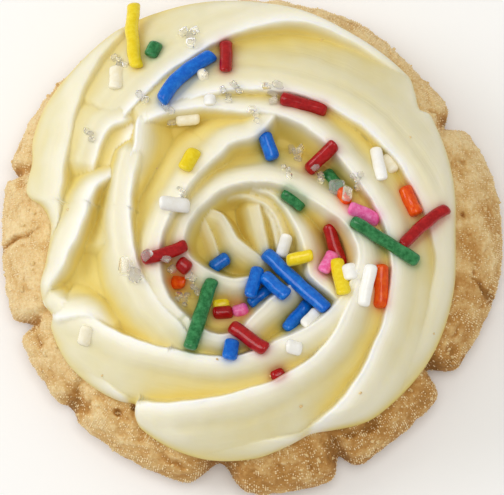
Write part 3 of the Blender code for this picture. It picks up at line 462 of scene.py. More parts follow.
def build_biscuit(material):
    """The biscuit with its sandy crust and cracks, painted shade and a darker underside."""
    mesh, spoke, ring = ball(BISCUIT_SPOKES, sum(BISCUIT_RINGS))
    covered, shoulder, heel, floor = BISCUIT_RINGS
    rim = biscuit_rim(spoke)
    tilt = np.clip((ring - covered) / shoulder, 0.0, 1.0) * math.pi / 2
    lean = np.clip((ring - covered - shoulder) / heel, 0.0, 1.0) * math.pi / 2
    under = np.clip((ring - covered - shoulder - heel) / floor, 0.0, 1.0)
    inner = rim - SHOULDER_WIDTH
    radius = np.where(ring < covered, inner * ring / covered, inner + SHOULDER_WIDTH * np.sin(tilt))
    height = biscuit_top(radius, rim)
    cos, sin = np.cos(np.radians(spoke)), np.sin(np.radians(spoke))
    edge = np.clip(1.0 - (rim - radius) / LUMP_REACH, 0.0, 1.0)
    height += BISCUIT_LUMP * edge * (lumps(radius * cos, radius * sin, LUMP_SIZE, LUMP_SEED) - 1.0)
    waver = lumps(radius * cos, radius * sin, TEAR_SIZE, TEAR_SEED)
    cut = crack_depth(spoke, radius, rim, waver) * (ring >= covered)
    height = (height - cut) * (1.0 - np.sin(lean))
    radius = (radius - HEEL_WIDTH * (1.0 - np.cos(lean))) * (1.0 - under)
    x, y = radius * cos, radius * sin
    grain = sum(reach * rough(x, y, height, size, octaves) for reach, size, octaves in (CRAGS, SANDY))
    grain *= np.clip(height / SMOOTH_FOOT, 0.0, 1.0) * (ring >= covered) * (under == 0)
    outward = tilt + lean
    x += grain * np.sin(outward) * cos
    y += grain * np.sin(outward) * sin
    height += grain * np.cos(outward)
    place(mesh, x, y, np.maximum(height, 0.0))
    piece = finish(mesh, "sugar_biscuit", material)
    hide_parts("biscuit")
    # painted shade: darker in cracks and hollows and on the side away from the light; also darker towards
    # the foot
    towards_shade = np.clip(np.cos(np.radians(angle_gap(spoke, SHADED_SIDE[0]))), 0.0, 1.0)
    shade_and_darkening = CRACK_SHADE * cut * np.cos(lean) + FOOT_DARKENING * np.clip(1.0 - height / FOOT_HEIGHT, 0.0, 1.0)
    shade_and_darkening += SHADED_SIDE[1] * towards_shade - HOLLOW_SHADE * grain
    paint(piece, "shade_and_darkening", np.clip(shade_and_darkening, 0.0, 1.0))
    return piece


# Frosting ----------------------------------------------------------------------------------------
def fold_line(stations, polar, seed):
    """Points along a fold's crest: x, y, height, crispness, distance run and raggedness."""
    a, b, height, crisp = (np.array(c, float) for c in zip(*stations))
    x, y = (b * np.cos(np.radians(a)), b * np.sin(np.radians(a))) if polar else (a, b)
    at = np.concatenate([[0.0], np.cumsum(np.hypot(np.diff(x), np.diff(y)))])
    where = np.linspace(0.0, at[-1], int(at[-1] / LINE_STEP) + 2)
    a, b, height, crisp = (smooth_run(at, c, where) for c in (a, b, height, crisp))
    if polar:
        a, b = b * np.cos(np.radians(a)), b * np.sin(np.radians(a))
    run = np.concatenate([[0.0], np.cumsum(np.hypot(np.diff(a), np.diff(b)))])
    ragged = RAGGED[1] * crisp * rough(run, 0 * run, 0 * run + seed, RAGGED[0], 3)
    return np.stack([a + SWIRL_X, b + SWIRL_Y, height, crisp, run, ragged], axis=1)


def read_fold(x, y, line, at_start, at_end):
    """Height of one fold at each point, how far it lies across and along it, and the crispness there."""
    height = np.full(len(x), FAR_BELOW)
    across, along, sharp = np.zeros(len(x)), np.zeros(len(x)), np.zeros(len(x))
    low, high = line[:, :2].min(axis=0) - FOLD_REACH, line[:, :2].max(axis=0) + FOLD_REACH
    near = np.flatnonzero((x > low[0]) & (x < high[0]) & (y > low[1]) & (y < high[1]))
    a, b = line[:-1], line[1:]
    run = b[:, :2] - a[:, :2]
    length = np.hypot(run[:, 0], run[:, 1])
    off_x, off_y = x[near, None] - a[:, 0], y[near, None] - a[:, 1]
    reach = (off_x * run[:, 0] + off_y * run[:, 1]) / length**2
    held = np.clip(reach, 0.0, 1.0)
    gap = np.hypot(off_x - held * run[:, 0], off_y - held * run[:, 1])
    k = np.argmin(gap, axis=1)
    rows = np.arange(len(near))
    t = held[rows, k]
    first, last = (k == 0) & (reach[rows, k] < 0), (k == len(a) - 1) & (reach[rows, k] > 1)
    past = np.where(first | last, np.abs(reach[rows, k] - t) * length[k], 0.0)
    side = (run[k, 0] * off_y[rows, k] - run[k, 1] * off_x[rows, k]) / length[k]
    crest = a[k, 2] + t * (b[k, 2] - a[k, 2])
    crisp = a[k, 3] + t * (b[k, 3] - a[k, 3])
    off = np.sqrt(np.maximum(gap[rows, k] ** 2 - past**2, 0.0))
    steep = STEEP[0] + crisp * (STEEP[1] - STEEP[0])
    curve = STEEP_ROUND[0] + crisp * (STEEP_ROUND[1] - STEEP_ROUND[0])
    done = a[k, 4] / line[-1, 4]
    band, shoulder, crisp_slope, crisp_wall = (
        start + done * (end - start) for start, end in zip(at_start, at_end)
    )
    wall = SOFT_WALL + crisp * (crisp_wall - SOFT_WALL)
    left = steep * (np.sqrt(off**2 + curve**2) - curve)
    left = wall * (1.0 - np.exp(-left / wall)) + WALL_FOOT * off
    beyond = np.maximum(off - band, 0.0)
    gentle = SOFT_SLOPE + crisp * (crisp_slope - SOFT_SLOPE)
    right = gentle * (np.sqrt(beyond**2 + shoulder**2) - shoulder) + BAND_FALL * off
    end = END_SLOPE * (np.sqrt(past**2 + END_ROUND**2) - END_ROUND)
    burr = (BURR[1] * crisp + a[k, 5]) * np.exp(-((off / BURR[0]) ** 2))
    height[near] = crest - np.where(side > 0, left, right) - end + burr
    across[near] = np.where(side > 0, off, -off)
    along[near] = a[k, 4] + t * length[k]
    sharp[near] = crisp * np.exp(-past)
    return height, across, along, sharp


def read_swirl(x, y):
    """Height of the frosting's top, the place of each point across and along its fold, and its painted
    crest highlight.
    """
    still = np.zeros_like(x)
    x, y = (
        side + WAVER[1] * rough(x, y, still + seed, WAVER[0], 2) for side, seed in zip((x, y), WAVER_SEEDS)
    )
    from_middle = np.hypot(x - SWIRL_X, y - SWIRL_Y)
    at, body = zip(*BODY_HEIGHT)
    layers = [smooth_run(at, body, np.minimum(from_middle, at[-1]))]
    across, along, crisp = [from_middle], [0.0 * x], [0.0 * x]
    for folds, polar in ((FOLDS, True), (PLEATS, False)):
        for *shape, stations in folds.values():
            line = fold_line(stations, polar, NICK_SEEDS * len(layers))
            reading = read_fold(x, y, line, *shape)
            for kept, found in zip((layers, across, along, crisp), reading):
                kept.append(found)
    layers, across, along, crisp = (np.array(kept) for kept in (layers, across, along, crisp))
    top = layers.max(axis=0)
    own = layers.argmax(axis=0)
    rows = np.arange(len(x))
    height = top + VALLEY_SOFT * np.log(np.exp((layers - top) / VALLEY_SOFT).sum(axis=0))
    drag = np.stack([across[own, rows], along[own, rows], DRAG_SEEDS * own], axis=1)
    # painted highlight along each crest: near white, weaker near the middle
    past_band = np.where(drag[:, 0] > 0, drag[:, 0] / CREST_HIGHLIGHT[0], -drag[:, 0] / CREST_HIGHLIGHT[1])
    pale = np.interp(from_middle, HIGHLIGHT_FADE, (HIGHLIGHT_INSIDE, 1.0))
    painted_highlight = np.where(own > 0, pale * crisp[own, rows] * np.exp(-(past_band**2)), 0.0)
    return height, drag, painted_highlight


def seat_height(x, y):
    """Height of the biscuit's top under the frosting, without the cracks."""
    rim = smooth_ring(BISCUIT_RIM, np.degrees(np.arctan2(y, x)))
    return biscuit_top(np.hypot(x, y), rim)


def softened(field, reach):
    """The grid field blurred over that reach in millimetres."""
    offsets = np.arange(-int(3 * reach / GRID_STEP), int(3 * reach / GRID_STEP) + 1)
    weight = np.exp(-0.5 * (offsets * GRID_STEP / reach) ** 2)
    weight /= weight.sum()
    for axis in (0, 1):
        field = np.apply_along_axis(lambda row: np.convolve(row, weight, mode="same"), axis, field)
    return field


def valley_depth(x, y, height):
    """How deep each point lies under the frosting around it, in millimetres; crests are below zero."""
    side = np.arange(-GRID_HALF, GRID_HALF + GRID_STEP, GRID_STEP)
    grid_x, grid_y = (g.ravel() for g in np.meshgrid(side, side))
    field = read_swirl(grid_x, grid_y)[0]
    angle = np.degrees(np.arctan2(grid_y - FOOT_Y, grid_x - FOOT_X))
    beyond = np.hypot(grid_x - FOOT_X, grid_y - FOOT_Y) > smooth_ring(FROSTING_EDGE, angle)
    field = np.where(beyond, RIM_LEVEL, field).reshape(len(side), len(side))
    around = sum(softened(field, reach) for reach in VALLEY_BLUR) / len(VALLEY_BLUR)
    column, row = (x - side[0]) / GRID_STEP, (y - side[0]) / GRID_STEP
    i, j = row.astype(int), column.astype(int)
    u, v = row - i, column - j
    level = (
        around[i, j] * (1 - u) * (1 - v) + around[i + 1, j] * u * (1 - v)
        + around[i, j + 1] * (1 - u) * v + around[i + 1, j + 1] * u * v
    )
    return level - height


def build_frosting(material):
    """The piped swirl, closed below, with the fine drag lines that the piping tip leaves."""
    mesh, spoke, ring = ball(FROSTING_SPOKES, sum(FROSTING_RINGS))
    top_rings, lip_rings, floor_rings = FROSTING_RINGS
    out = 1.0 - (1.0 - np.clip(ring / top_rings, 0.0, 1.0)) ** EDGE_CROWDING
    lean = np.clip((ring - top_rings) / lip_rings, 0.0, 1.0) * math.pi / 2
    under = np.clip((ring - top_rings - lip_rings) / floor_rings, 0.0, 1.0) ** 2
    edge = smooth_ring(FROSTING_EDGE, spoke)
    cos, sin = np.cos(np.radians(spoke)), np.sin(np.radians(spoke))
    foot_x, foot_y = FOOT_X + (edge - LIP_RISE) * cos, FOOT_Y + (edge - LIP_RISE) * sin
    foot = np.maximum(seat_height(foot_x, foot_y), FOOT_FLOOR) - FOOT_SINK
    radius = edge * out
    x, y = FOOT_X + radius * cos, FOOT_Y + radius * sin
    rolled = 1.0 - np.clip((edge - radius) / smooth_ring(LIP_WIDTHS, spoke), 0.0, 1.0)
    widest = foot + LIP_RISE
    swirl, drag, painted_highlight = read_swirl(x, y)
    across, along, fold = drag.T
    lines = np.zeros_like(x)
    for number, (reach, size, stretch, octaves) in enumerate(DRAG_LINES):
        lines += reach * rough(across, stretch * along, fold + LINE_SEEDS * number, size, octaves)
    stray, often = GROOVE_WANDER
    wander = stray * rough(often * along, 0.0 * x, fold, 1.0)
    lines -= GROOVE[2] * np.exp(-(((across + GROOVE[0] + wander) / GROOVE[1]) ** 2))
    swirl = np.maximum(swirl + lines, widest)
    top = widest + (swirl - widest) * np.sqrt(1.0 - rolled**2)
    tucked = (edge - LIP_RISE * (1.0 - np.cos(lean))) * (1.0 - under)
    low_x, low_y = FOOT_X + tucked * cos, FOOT_Y + tucked * sin
    seat = np.maximum(seat_height(low_x, low_y) - FOOT_SINK, foot - FOOT_DIP * under)
    low = np.where(under > 0, seat, foot + LIP_RISE * (1.0 - np.sin(lean)))
    below = lean > 0
    height = np.where(below, low, top)
    place(mesh, np.where(below, low_x, x), np.where(below, low_y, y), height)
    piece = finish(mesh, "butter_swirl", material)
    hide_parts("frosting")
    depth = np.where(below, 0.0, valley_depth(x, y, top))
    # painted shade: the deeper a point lies below the frosting around it, the yellower and darker; crests
    # paler
    paint(piece, "painted_valley_shade", np.clip(0.5 + depth / VALLEY_SPAN, 0.0, 1.0))
    paint(piece, "drag", drag)
    # painted highlight: near white along each crisp crest
    paint(piece, "painted_highlight", np.where(below, 0.0, painted_highlight))
    return piece


# Sprinkles and sugar -----------------------------------------------------------------------------
class Surface:
    """What lies on the cookie so far, read from above."""

    def __init__(self, piece):
        co = corners(piece)
        faces = [tuple(face.vertices) for face in piece.data.polygons]
        self.trees = [BVHTree.FromPolygons([tuple(c) for c in co], faces)]

    def add(self, mesh):
        """Takes in a small mesh that was laid on it."""
        mesh = mesh.copy()
        bmesh.ops.scale(mesh, vec=(1 / MM, 1 / MM, 1 / MM), verts=mesh.verts)
        self.trees.append(BVHTree.FromBMesh(mesh))
        mesh.free()

    def height(self, x, y):
        """Height of the topmost thing at a point."""
        above, down = Vector((x, y, OVERHEAD)), Vector((0.0, 0.0, -1.0))
        spots = [tree.ray_cast(above, down)[0] for tree in self.trees]
        return max((spot.z for spot in spots if spot is not None), default=0.0)


def sprinkle(x, y, heading, length, bend, pressed, surface, number):
    """One pressed sugar rod with rounded ends, lying on the surface."""
    turn = math.radians(heading)
    across = Vector((-math.sin(turn), math.cos(turn), 0.0))
    ahead = Vector((math.cos(turn), math.sin(turn), 0.0))
    steps = np.linspace(-0.5, 0.5, FEELERS) * (length - SPRINKLE_RADIUS)
    below = np.array([surface.height(x + s * ahead.x, y + s * ahead.y) for s in steps])
    tilt = np.clip(np.polyfit(steps, below, 1)[0], -SPRINKLE_TILT, SPRINKLE_TILT)
    lift = float((below - tilt * steps).max()) + (1.0 - pressed) * SPRINKLE_RADIUS
    mesh, spoke, ring = ball(ROD_SIDES, ROD_RINGS)
    body_rings = ROD_RINGS - 2 * TIP_RINGS
    swing = np.minimum(ring, TIP_RINGS) + np.maximum(ring - TIP_RINGS - body_rings, 0.0)
    swing *= math.pi / (2 * TIP_RINGS)
    middle = np.clip((ring - TIP_RINGS) / body_rings, 0.0, 1.0)
    tip = SPRINKLE_TIP * SPRINKLE_RADIUS
    along = (2 * middle - 1.0) * (length / 2 - tip) - tip * np.cos(swing)
    still = np.zeros_like(along)
    uneven, bulge = SPRINKLE_UNEVEN
    bulges = rough(along, still, still + BULGE_SEEDS * number, bulge)
    size = 1.0 + uneven * (math.sin(GIRTH_SEEDS * number) + bulges)
    size *= SPRINKLE_RADIUS * np.sin(swing) ** SPRINKLE_FULLNESS
    stray, bow = SPRINKLE_SWAY
    sway = stray * rough(along, still, still + SWAY_SEEDS * number, bow)
    side = size * np.cos(np.radians(spoke)) + bend * length * (0.25 - (along / length) ** 2) + sway
    up = size * np.sin(np.radians(spoke)) + tilt * along
    place(
        mesh, x + ahead.x * along + across.x * side, y + ahead.y * along + across.y * side, lift + up
    )
    bmesh.ops.recalc_face_normals(mesh, faces=mesh.faces[:])
    return mesh


def join(into, mesh):
    """Adds a small mesh to a large one."""
    data = bpy.data.meshes.new("joined")
    mesh.to_mesh(data)
    into.from_mesh(data)
    bpy.data.meshes.remove(data)


def build_sprinkles(surface, materials):
    """One piece for each colour of sprinkle."""
    heaps = {colour: bmesh.new() for colour in materials}
    for number, (colour, *shape) in enumerate(SPRINKLES):
        rod = sprinkle(*shape, surface, number)
        surface.add(rod)
        join(heaps[colour], rod)
        rod.free()
    for colour, heap in heaps.items():
        finish(heap, f"sprinkles_{colour}", materials[colour])


def blocks(spots, sizes, worn, uneven):
    """Small blocks at those places, turned any way, with worn edges and uneven corners."""
    mesh = bmesh.new()
    bmesh.ops.create_cube(mesh, size=1.0)
    if worn:
        edges = mesh.edges[:]
        bmesh.ops.bevel(mesh, geom=edges, offset=worn, segments=1, affect="EDGES", profile=0.5)
    data = bpy.data.meshes.new("block")
    mesh.to_mesh(data)
    mesh.clear()
    mesh.from_mesh(data)
    shape = np.array([v.co for v in mesh.verts])
    corner = (shape > 0) @ np.array([1, 2, 4])  # which of the cube's eight corners each belongs to
    while len(mesh.verts) < len(shape) * len(spots):  # the mesh doubles until there are enough blocks
        mesh.to_mesh(data)
        mesh.from_mesh(data)
    bpy.data.meshes.remove(data)
    bmesh.ops.delete(mesh, geom=mesh.verts[len(shape) * len(spots):], context="VERTS")
    co = np.empty((len(spots), len(shape), 3))
    for number, (spot, size) in enumerate(zip(spots, sizes)):
        turn = np.array(Euler(CHANCE.uniform(0, 2 * math.pi, 3)).to_matrix())
        knocked = shape + CHANCE.uniform(-uneven, uneven, (8, 3))[corner]
        co[number] = spot + size * (knocked * CHANCE.uniform(*BLOCK_SIDES, 3)) @ turn.T
    place(mesh, *co.reshape(-1, 3).T)
    return mesh


def build_sugar(surface, material):
    """Coarse clear sugar in small clusters on the frosting."""
    spots, sizes = [], []
    for x, y, count, size in SUGAR:
        for number in range(count):
            turn = CLUSTER_TURN * number
            off = 0.0 if number == 0 else CLUSTER_SPACING * size
            a, b = x + off * math.cos(turn), y + off * math.sin(turn)
            spots.append((a, b, surface.height(a, b) + CRYSTAL_SEAT * size))
            sizes.append(size * CHANCE.uniform(*CRYSTAL_SPREAD))
    mesh = blocks(spots, sizes, CRYSTAL_WEAR, CRYSTAL_KNOCK)
    piece = finish(mesh, "coarse_sugar", material)
    piece.data.shade_flat()


def build_grains(biscuit, material):
    """Fine sugar grains bedded all over the biscuit's crust."""
    co = corners(biscuit)
    normal = np.empty(len(co) * 3, np.float32)
    biscuit.data.vertices.foreach_get("normal", normal)
    normal = normal.reshape(-1, 3)
    shown = np.flatnonzero((np.hypot(co[:, 0], co[:, 1]) > BARE_RADIUS) & (co[:, 2] > BARE_FOOT))
    thick = np.exp(GRAIN_DRIFT[1] * rough(*co[shown].T, GRAIN_DRIFT[0], 2))
    picks = CHANCE.choice(shown, SUGAR_GRAINS, replace=False, p=thick / thick.sum())
    sizes = CHANCE.uniform(*GRAIN_SIZES, len(picks))
    spots = co[picks] + GRAIN_SEAT * normal[picks] * sizes[:, None]
    mesh = blocks(spots, sizes, GRAIN_WEAR, CRYSTAL_KNOCK)
    piece = finish(mesh, "sugar_grains", material)
    piece.data.shade_flat()


def build_crumbs(biscuit, surface, material):
    """Crumbs of the biscuit, on its own rim and strayed on to the frosting."""
    spots = [(x, y, surface.height(x, y) + CRUMB_SEAT * size) for x, y, size in CRUMBS]
    sizes = [size for _x, _y, size in CRUMBS]
    co = corners(biscuit)
    shown = np.flatnonzero((np.hypot(co[:, 0], co[:, 1]) > CRUMB_RADIUS) & (co[:, 2] > CRUMB_FOOT))
    picks = CHANCE.choice(shown, LOOSE_CRUMBS, replace=False)
    spots = np.concatenate([spots, co[picks]])
    sizes = np.concatenate([sizes, CHANCE.uniform(*CRUMB_SIZES, LOOSE_CRUMBS)])
    finish(blocks(spots, sizes, CRUMB_WEAR, CRUMB_KNOCK), "crumbs", material)


# Materials ---------------------------------------------------------------------------------------
def linear(shade):
    """Linear colour of an sRGB hex value."""
    channels = [int(shade[i:i + 2], 16) / 255 for i in (1, 3, 5)]
    return (*[c / 12.92 if c <= 0.04045 else ((c + 0.055) / 1.055) ** 2.4 for c in channels], 1.0)


def add(tree, kind, inputs=None, stops=None, **settings):
    """Adds a node; an input is given a value, or the socket that feeds it."""
    node = tree.nodes.new(kind)
    for key, value in settings.items():
        setattr(node, key, value)
    for key, value in (inputs or {}).items():
        if isinstance(value, bpy.types.NodeSocket):
            tree.links.new(value, node.inputs[key])
        else:
            node.inputs[key].default_value = value
    if stops:
        while len(node.color_ramp.elements) < len(stops):
            node.color_ramp.elements.new(0.5)
        for element, (at, shade) in zip(node.color_ramp.elements, stops):
            element.position = at
            element.color = linear(shade)
    return node


def new_material(name):
    """A material of that name with no nodes yet, and its node tree."""
    material = bpy.data.materials.new(name)
    material.use_nodes = True
    material.node_tree.nodes.clear()
    return material, material.node_tree


def butter_frosting():
    """Whipped butter frosting, piped: dense fat that light sinks into, with a soft waxy sheen.

    A near white painted highlight runs along each crest, and the valleys are painted warm, yellow and
    darker, as painted shade. Close to the sprinkles their dye has run into it.
    """
    material, tree = new_material("butter_frosting")
    painted_valley_shade = add(tree, "ShaderNodeAttribute", attribute_name="painted_valley_shade")
    painted_highlight = add(tree, "ShaderNodeAttribute", attribute_name="painted_highlight")
    drag = add(tree, "ShaderNodeAttribute", attribute_name="drag")
    dye = add(tree, "ShaderNodeAttribute", attribute_name="dye")
    coords = add(tree, "ShaderNodeTexCoord")
    mottle = add(tree, "ShaderNodeTexNoise", {  # butter unevenly beaten in
        "Vector": coords.outputs["Object"], "Scale": 1 / (5.0 * MM), "Detail": 3.0,
    })
    shifted = add(tree, "ShaderNodeMath", {  # that mottle, from -0.08 to 0.08
        0: mottle.outputs["Fac"], 1: 0.16, 2: -0.08,
    }, operation="MULTIPLY_ADD")
    depth = add(tree, "ShaderNodeMath", {0: painted_valley_shade.outputs["Fac"], 1: shifted.outputs[0]})
    # painted shade: pale on the crests, yellower and darker the deeper the hollow
    tone = add(tree, "ShaderNodeValToRGB", {"Fac": depth.outputs[0]}, stops=(
        (0.20, "#eee8cd"), (0.37, "#e7dfb9"), (0.50, "#e5d8a2"), (0.70, "#e8d583"), (1.0, "#dfc662"),
    ))
    # painted highlight: near white along each crest
    crested = add(tree, "ShaderNodeMix", {
        0: painted_highlight.outputs["Fac"], 6: tone.outputs["Color"], 7: linear("#fbfaf4"),
    }, data_type="RGBA")
    dyed = add(tree, "ShaderNodeMix", {
        0: 1.0, 6: crested.outputs[2], 7: dye.outputs["Color"],
    }, data_type="RGBA", blend_type="MULTIPLY")
    stretch = add(tree, "ShaderNodeMapping", {  # "drag" is in millimetres: lines 0.45 wide and 12 long
        "Vector": drag.outputs["Vector"], "Scale": (2.2, 0.08, 1.0),
    })
    lines = add(tree, "ShaderNodeTexNoise", {
        "Vector": stretch.outputs["Vector"], "Scale": 1.0, "Detail": 3.0, "Roughness": 0.6,
    })
    fine = add(tree, "ShaderNodeTexNoise", {  # whipped-in air, drawn coarser than it is so that it shows
        "Vector": coords.outputs["Object"], "Scale": 1 / (0.7 * MM), "Detail": 4.0,
    })
    lined = add(tree, "ShaderNodeBump", {
        "Strength": 0.55, "Distance": 0.10 * MM, "Height": lines.outputs["Fac"],
    })
    bumped = add(tree, "ShaderNodeBump", {
        "Strength": 0.25, "Distance": 0.06 * MM, "Height": fine.outputs["Fac"],
        "Normal": lined.outputs["Normal"],
    })
    shader = add(tree, "ShaderNodeBsdfPrincipled", {
        "Base Color": dyed.outputs[2], "Roughness": 0.50, "IOR": 1.40,
        "Subsurface Weight": 0.35, "Subsurface Radius": (1.0, 0.88, 0.45), "Subsurface Scale": 1.0 * MM,
        "Normal": bumped.outputs["Normal"],
    })
    add(tree, "ShaderNodeOutputMaterial", {"Surface": shader.outputs["BSDF"]})
    return material


def baked_biscuit():
    """Baked sugar dough: a dry, sandy crust of flour and sugar, darker in painted shade and at the foot."""
    material, tree = new_material("baked_sugar_dough")
    coords = add(tree, "ShaderNodeTexCoord")
    shade_and_darkening = add(tree, "ShaderNodeAttribute", attribute_name="shade_and_darkening")
    patches = add(tree, "ShaderNodeTexNoise", {  # patches that baked unevenly
        "Vector": coords.outputs["Object"], "Scale": 1 / (4.0 * MM), "Detail": 4.0, "Roughness": 0.6,
    })
    sand = add(tree, "ShaderNodeTexNoise", {  # grains of sugar in the dough
        "Vector": coords.outputs["Object"], "Scale": 1 / (0.45 * MM), "Detail": 3.0, "Roughness": 0.7,
    })
    crumb = add(tree, "ShaderNodeTexVoronoi", {  # the crust's crumbs
        "Vector": coords.outputs["Object"], "Scale": 1 / (0.55 * MM),
    })
    finer = add(tree, "ShaderNodeMath", {
        0: sand.outputs["Fac"], 1: 0.62, 2: 0.16,
    }, operation="MULTIPLY_ADD")
    mixed = add(tree, "ShaderNodeMath", {
        0: patches.outputs["Fac"], 1: 0.55, 2: finer.outputs[0],
    }, operation="MULTIPLY_ADD")
    # painted shade in cracks, hollows and on one side, and the darker foot, darken the tone
    darkened = add(tree, "ShaderNodeMath", {
        0: shade_and_darkening.outputs["Fac"], 1: -0.62, 2: mixed.outputs[0],
    }, operation="MULTIPLY_ADD")
    tone = add(tree, "ShaderNodeValToRGB", {"Fac": darkened.outputs[0]}, stops=(
        (0.05, "#9c6c2c"), (0.36, "#bc8946"), (0.60, "#d6b073"), (0.82, "#ead09c"), (1.0, "#f3e2b8"),
    ))
    relief = add(tree, "ShaderNodeBump", {
        "Strength": 0.7, "Distance": 0.18 * MM, "Height": sand.outputs["Fac"],
    })
    pitted = add(tree, "ShaderNodeBump", {
        "Strength": 0.35, "Distance": 0.16 * MM, "Height": crumb.outputs["Distance"],
        "Normal": relief.outputs["Normal"],
    })
    shader = add(tree, "ShaderNodeBsdfPrincipled", {
        "Base Color": tone.outputs["Color"], "Roughness": 0.8, "IOR": 1.45,
        "Subsurface Weight": 0.08, "Subsurface Radius": (1.0, 0.5, 0.2), "Subsurface Scale": 0.8 * MM,
        "Normal": pitted.outputs["Normal"],
    })
    add(tree, "ShaderNodeOutputMaterial", {"Surface": shader.outputs["BSDF"]})
    return material


def pressed_sugar(colour, shade, glow):
    """Pressed and dyed sugar paste under a thin polish: cloudy colour, small sharp highlights."""
    material, tree = new_material(f"pressed_sugar_{colour}")
    coords = add(tree, "ShaderNodeTexCoord")
    cloud = add(tree, "ShaderNodeTexNoise", {  # sugar pressed more and less densely
        "Vector": coords.outputs["Object"], "Scale": 1 / (0.7 * MM), "Detail": 4.0, "Roughness": 0.65,
    })
    mottled = add(tree, "ShaderNodeMapRange", {
        "Value": cloud.outputs["Fac"], "From Min": 0.38, "From Max": 0.72,
    })
    tone = add(tree, "ShaderNodeMix", {
        0: mottled.outputs["Result"], 6: linear(shade), 7: linear(glow),
    }, data_type="RGBA")
    relief = add(tree, "ShaderNodeBump", {
        "Strength": 0.14, "Distance": 0.08 * MM, "Height": cloud.outputs["Fac"],
    })
    shader = add(tree, "ShaderNodeBsdfPrincipled", {
        "Base Color": tone.outputs[2], "Roughness": 0.14, "IOR": 1.42, "Specular IOR Level": 0.45,
        "Subsurface Weight": 0.06, "Subsurface Radius": (1.0, 1.0, 1.0), "Subsurface Scale": 0.3 * MM,
        "Normal": relief.outputs["Normal"],
    })
    add(tree, "ShaderNodeOutputMaterial", {"Surface": shader.outputs["BSDF"]})
    return material


def clear_sugar(name, shade, clearness):
    """Grown sugar crystal, clear when coarse and clouded when fine: its smooth faces catch the light."""
    material, tree = new_material(name)
    shader = add(tree, "ShaderNodeBsdfPrincipled", {
        "Base Color": linear(shade), "Roughness": 0.10, "IOR": 1.33,
        "Transmission Weight": clearness,
    })
    add(tree, "ShaderNodeOutputMaterial", {"Surface": shader.outputs["BSDF"]})
    return material


SPRINKLE_SHADES = {  # the rod's deeper shade, and the paler one that its cloudy mottle mixes in and its dye gives
    "red": ("#96060a", "#b81a1c"), "blue": ("#005bc2", "#1d7cdc"), "green": ("#1b6532", "#45955b"),
    "yellow": ("#e9cc0c", "#f5e03a"), "orange": ("#dc4000", "#f06a10"), "pink": ("#ee5ba2", "#fa95cd"),
    "white": ("#f7f5ee", "#fdfdfb"), "cream": ("#f3eacd", "#faf5e4"),
}


def dye_spread(frosting):
    """Tints the frosting close to each sprinkle with its dye."""
    co = corners(frosting)
    tint = np.ones((len(co), 4), np.float32)
    for colour, x, y, heading, length, _bend, _pressed in SPRINKLES:
        if colour in ("white", "cream"):
            continue
        shade = np.array(linear(SPRINKLE_SHADES[colour][1]))
        turn = math.radians(heading)
        off_x, off_y = co[:, 0] - x, co[:, 1] - y
        along = off_x * math.cos(turn) + off_y * math.sin(turn)
        held = np.clip(along, DYE_END - length / 2, length / 2 - DYE_END)
        gap = np.hypot(off_x - held * math.cos(turn), off_y - held * math.sin(turn))
        share = DYE_SHARE * np.exp(-np.maximum(gap - SPRINKLE_RADIUS, 0.0) / DYE_REACH)[:, None]
        tint *= 1.0 - share * (1.0 - shade)
    paint(frosting, "dye", tint)


# Stage -------------------------------------------------------------------------------------------
CAMERA_AT = Vector((0.0, -0.0013, 0.008))  # the point that it looks at
CAMERA_DISTANCE = 0.38
CAMERA_RAISED = math.radians(80)
PICTURE_PIXELS, PIXEL_SIZE = 504, 0.141  # width of the picture, and the millimetres that a pixel takes in
PICTURE_WIDTH = PICTURE_PIXELS * PIXEL_SIZE * MM  # what the picture takes in at that distance
SENSOR = 36.0
# Soft boxes: (name, place and side in metres, power, colour)
SOFT_BOXES = (
    ("window", (-0.56, 0.16, 0.37), 0.36, 1.55, "#fdfeff"),
    ("ceiling", (0.02, -0.02, 0.70), 0.40, 1.7, "#fffdf9"),
)
LIT_POINT = Vector((0.0, 0.0, 0.012))  # the point that they face
STUDIO_SHADE, STUDIO_STRENGTH = "#fffdf8", 0.53  # the even light of the walls
FLOOR_HALF = 1.5


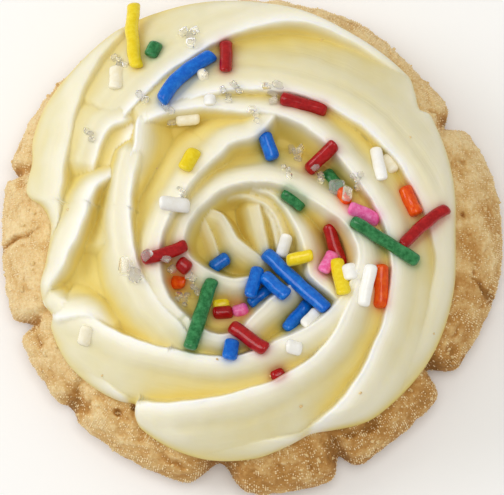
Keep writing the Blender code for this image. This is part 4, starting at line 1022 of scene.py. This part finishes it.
def set_camera():
    """Looks down steeply from the near side."""
    camera = bpy.data.cameras.new("camera")
    camera.sensor_width = SENSOR
    camera.lens = SENSOR * CAMERA_DISTANCE / PICTURE_WIDTH
    holder = bpy.data.objects.new("camera", camera)
    bpy.context.scene.collection.objects.link(holder)
    back = Vector((0.0, -math.cos(CAMERA_RAISED), math.sin(CAMERA_RAISED)))
    holder.location = CAMERA_AT + CAMERA_DISTANCE * back
    holder.rotation_euler = (-back).to_track_quat("-Z", "Y").to_euler()
    bpy.context.scene.camera = holder


def soft_light(name, spot, size, power, shade):
    """A square soft box that faces the cookie."""
    light = bpy.data.lights.new(name, "AREA")
    light.size = size
    light.energy = power
    light.color = linear(shade)[:3]
    holder = bpy.data.objects.new(name, light)
    bpy.context.scene.collection.objects.link(holder)
    holder.location = spot
    holder.rotation_euler = (LIT_POINT - Vector(spot)).to_track_quat("-Z", "Y").to_euler()


def set_stage():
    """A pale floor, a window-like soft box at the upper left, one above, and pale walls."""
    mesh = bmesh.new()
    bmesh.ops.create_grid(mesh, x_segments=1, y_segments=1, size=FLOOR_HALF)
    data = bpy.data.meshes.new("floor")
    mesh.to_mesh(data)
    mesh.free()
    floor = bpy.data.objects.new("floor", data)
    bpy.context.scene.collection.objects.link(floor)
    material, tree = new_material("white_card")  # matt, so that it shows the shadow and no reflection
    shader = add(tree, "ShaderNodeBsdfPrincipled", {
        "Base Color": linear("#fcfcfc"), "Roughness": 0.9,
    })
    add(tree, "ShaderNodeOutputMaterial", {"Surface": shader.outputs["BSDF"]})
    data.materials.append(material)
    for box in SOFT_BOXES:
        soft_light(*box)
    world = bpy.data.worlds.new("studio")
    world.use_nodes = True
    background = world.node_tree.nodes["Background"]
    background.inputs["Color"].default_value = linear(STUDIO_SHADE)
    background.inputs["Strength"].default_value = STUDIO_STRENGTH
    scene = bpy.context.scene
    scene.world = world
    scene.view_settings.view_transform = "Standard"


# Making ------------------------------------------------------------------------------------------
dough = baked_biscuit()
biscuit = build_biscuit(dough)
frosting = build_frosting(butter_frosting())
surface = Surface(frosting)
rods = {c: pressed_sugar(c, shade, glow) for c, (shade, glow) in SPRINKLE_SHADES.items()}
build_sprinkles(surface, rods)
dye_spread(frosting)
build_sugar(surface, clear_sugar("clear_sugar_crystal", "#fffdf8", 0.78))
build_grains(biscuit, clear_sugar("fine_sugar_grain", "#f2ddb0", 0.0))
build_crumbs(biscuit, surface, dough)
set_camera()
set_stage()
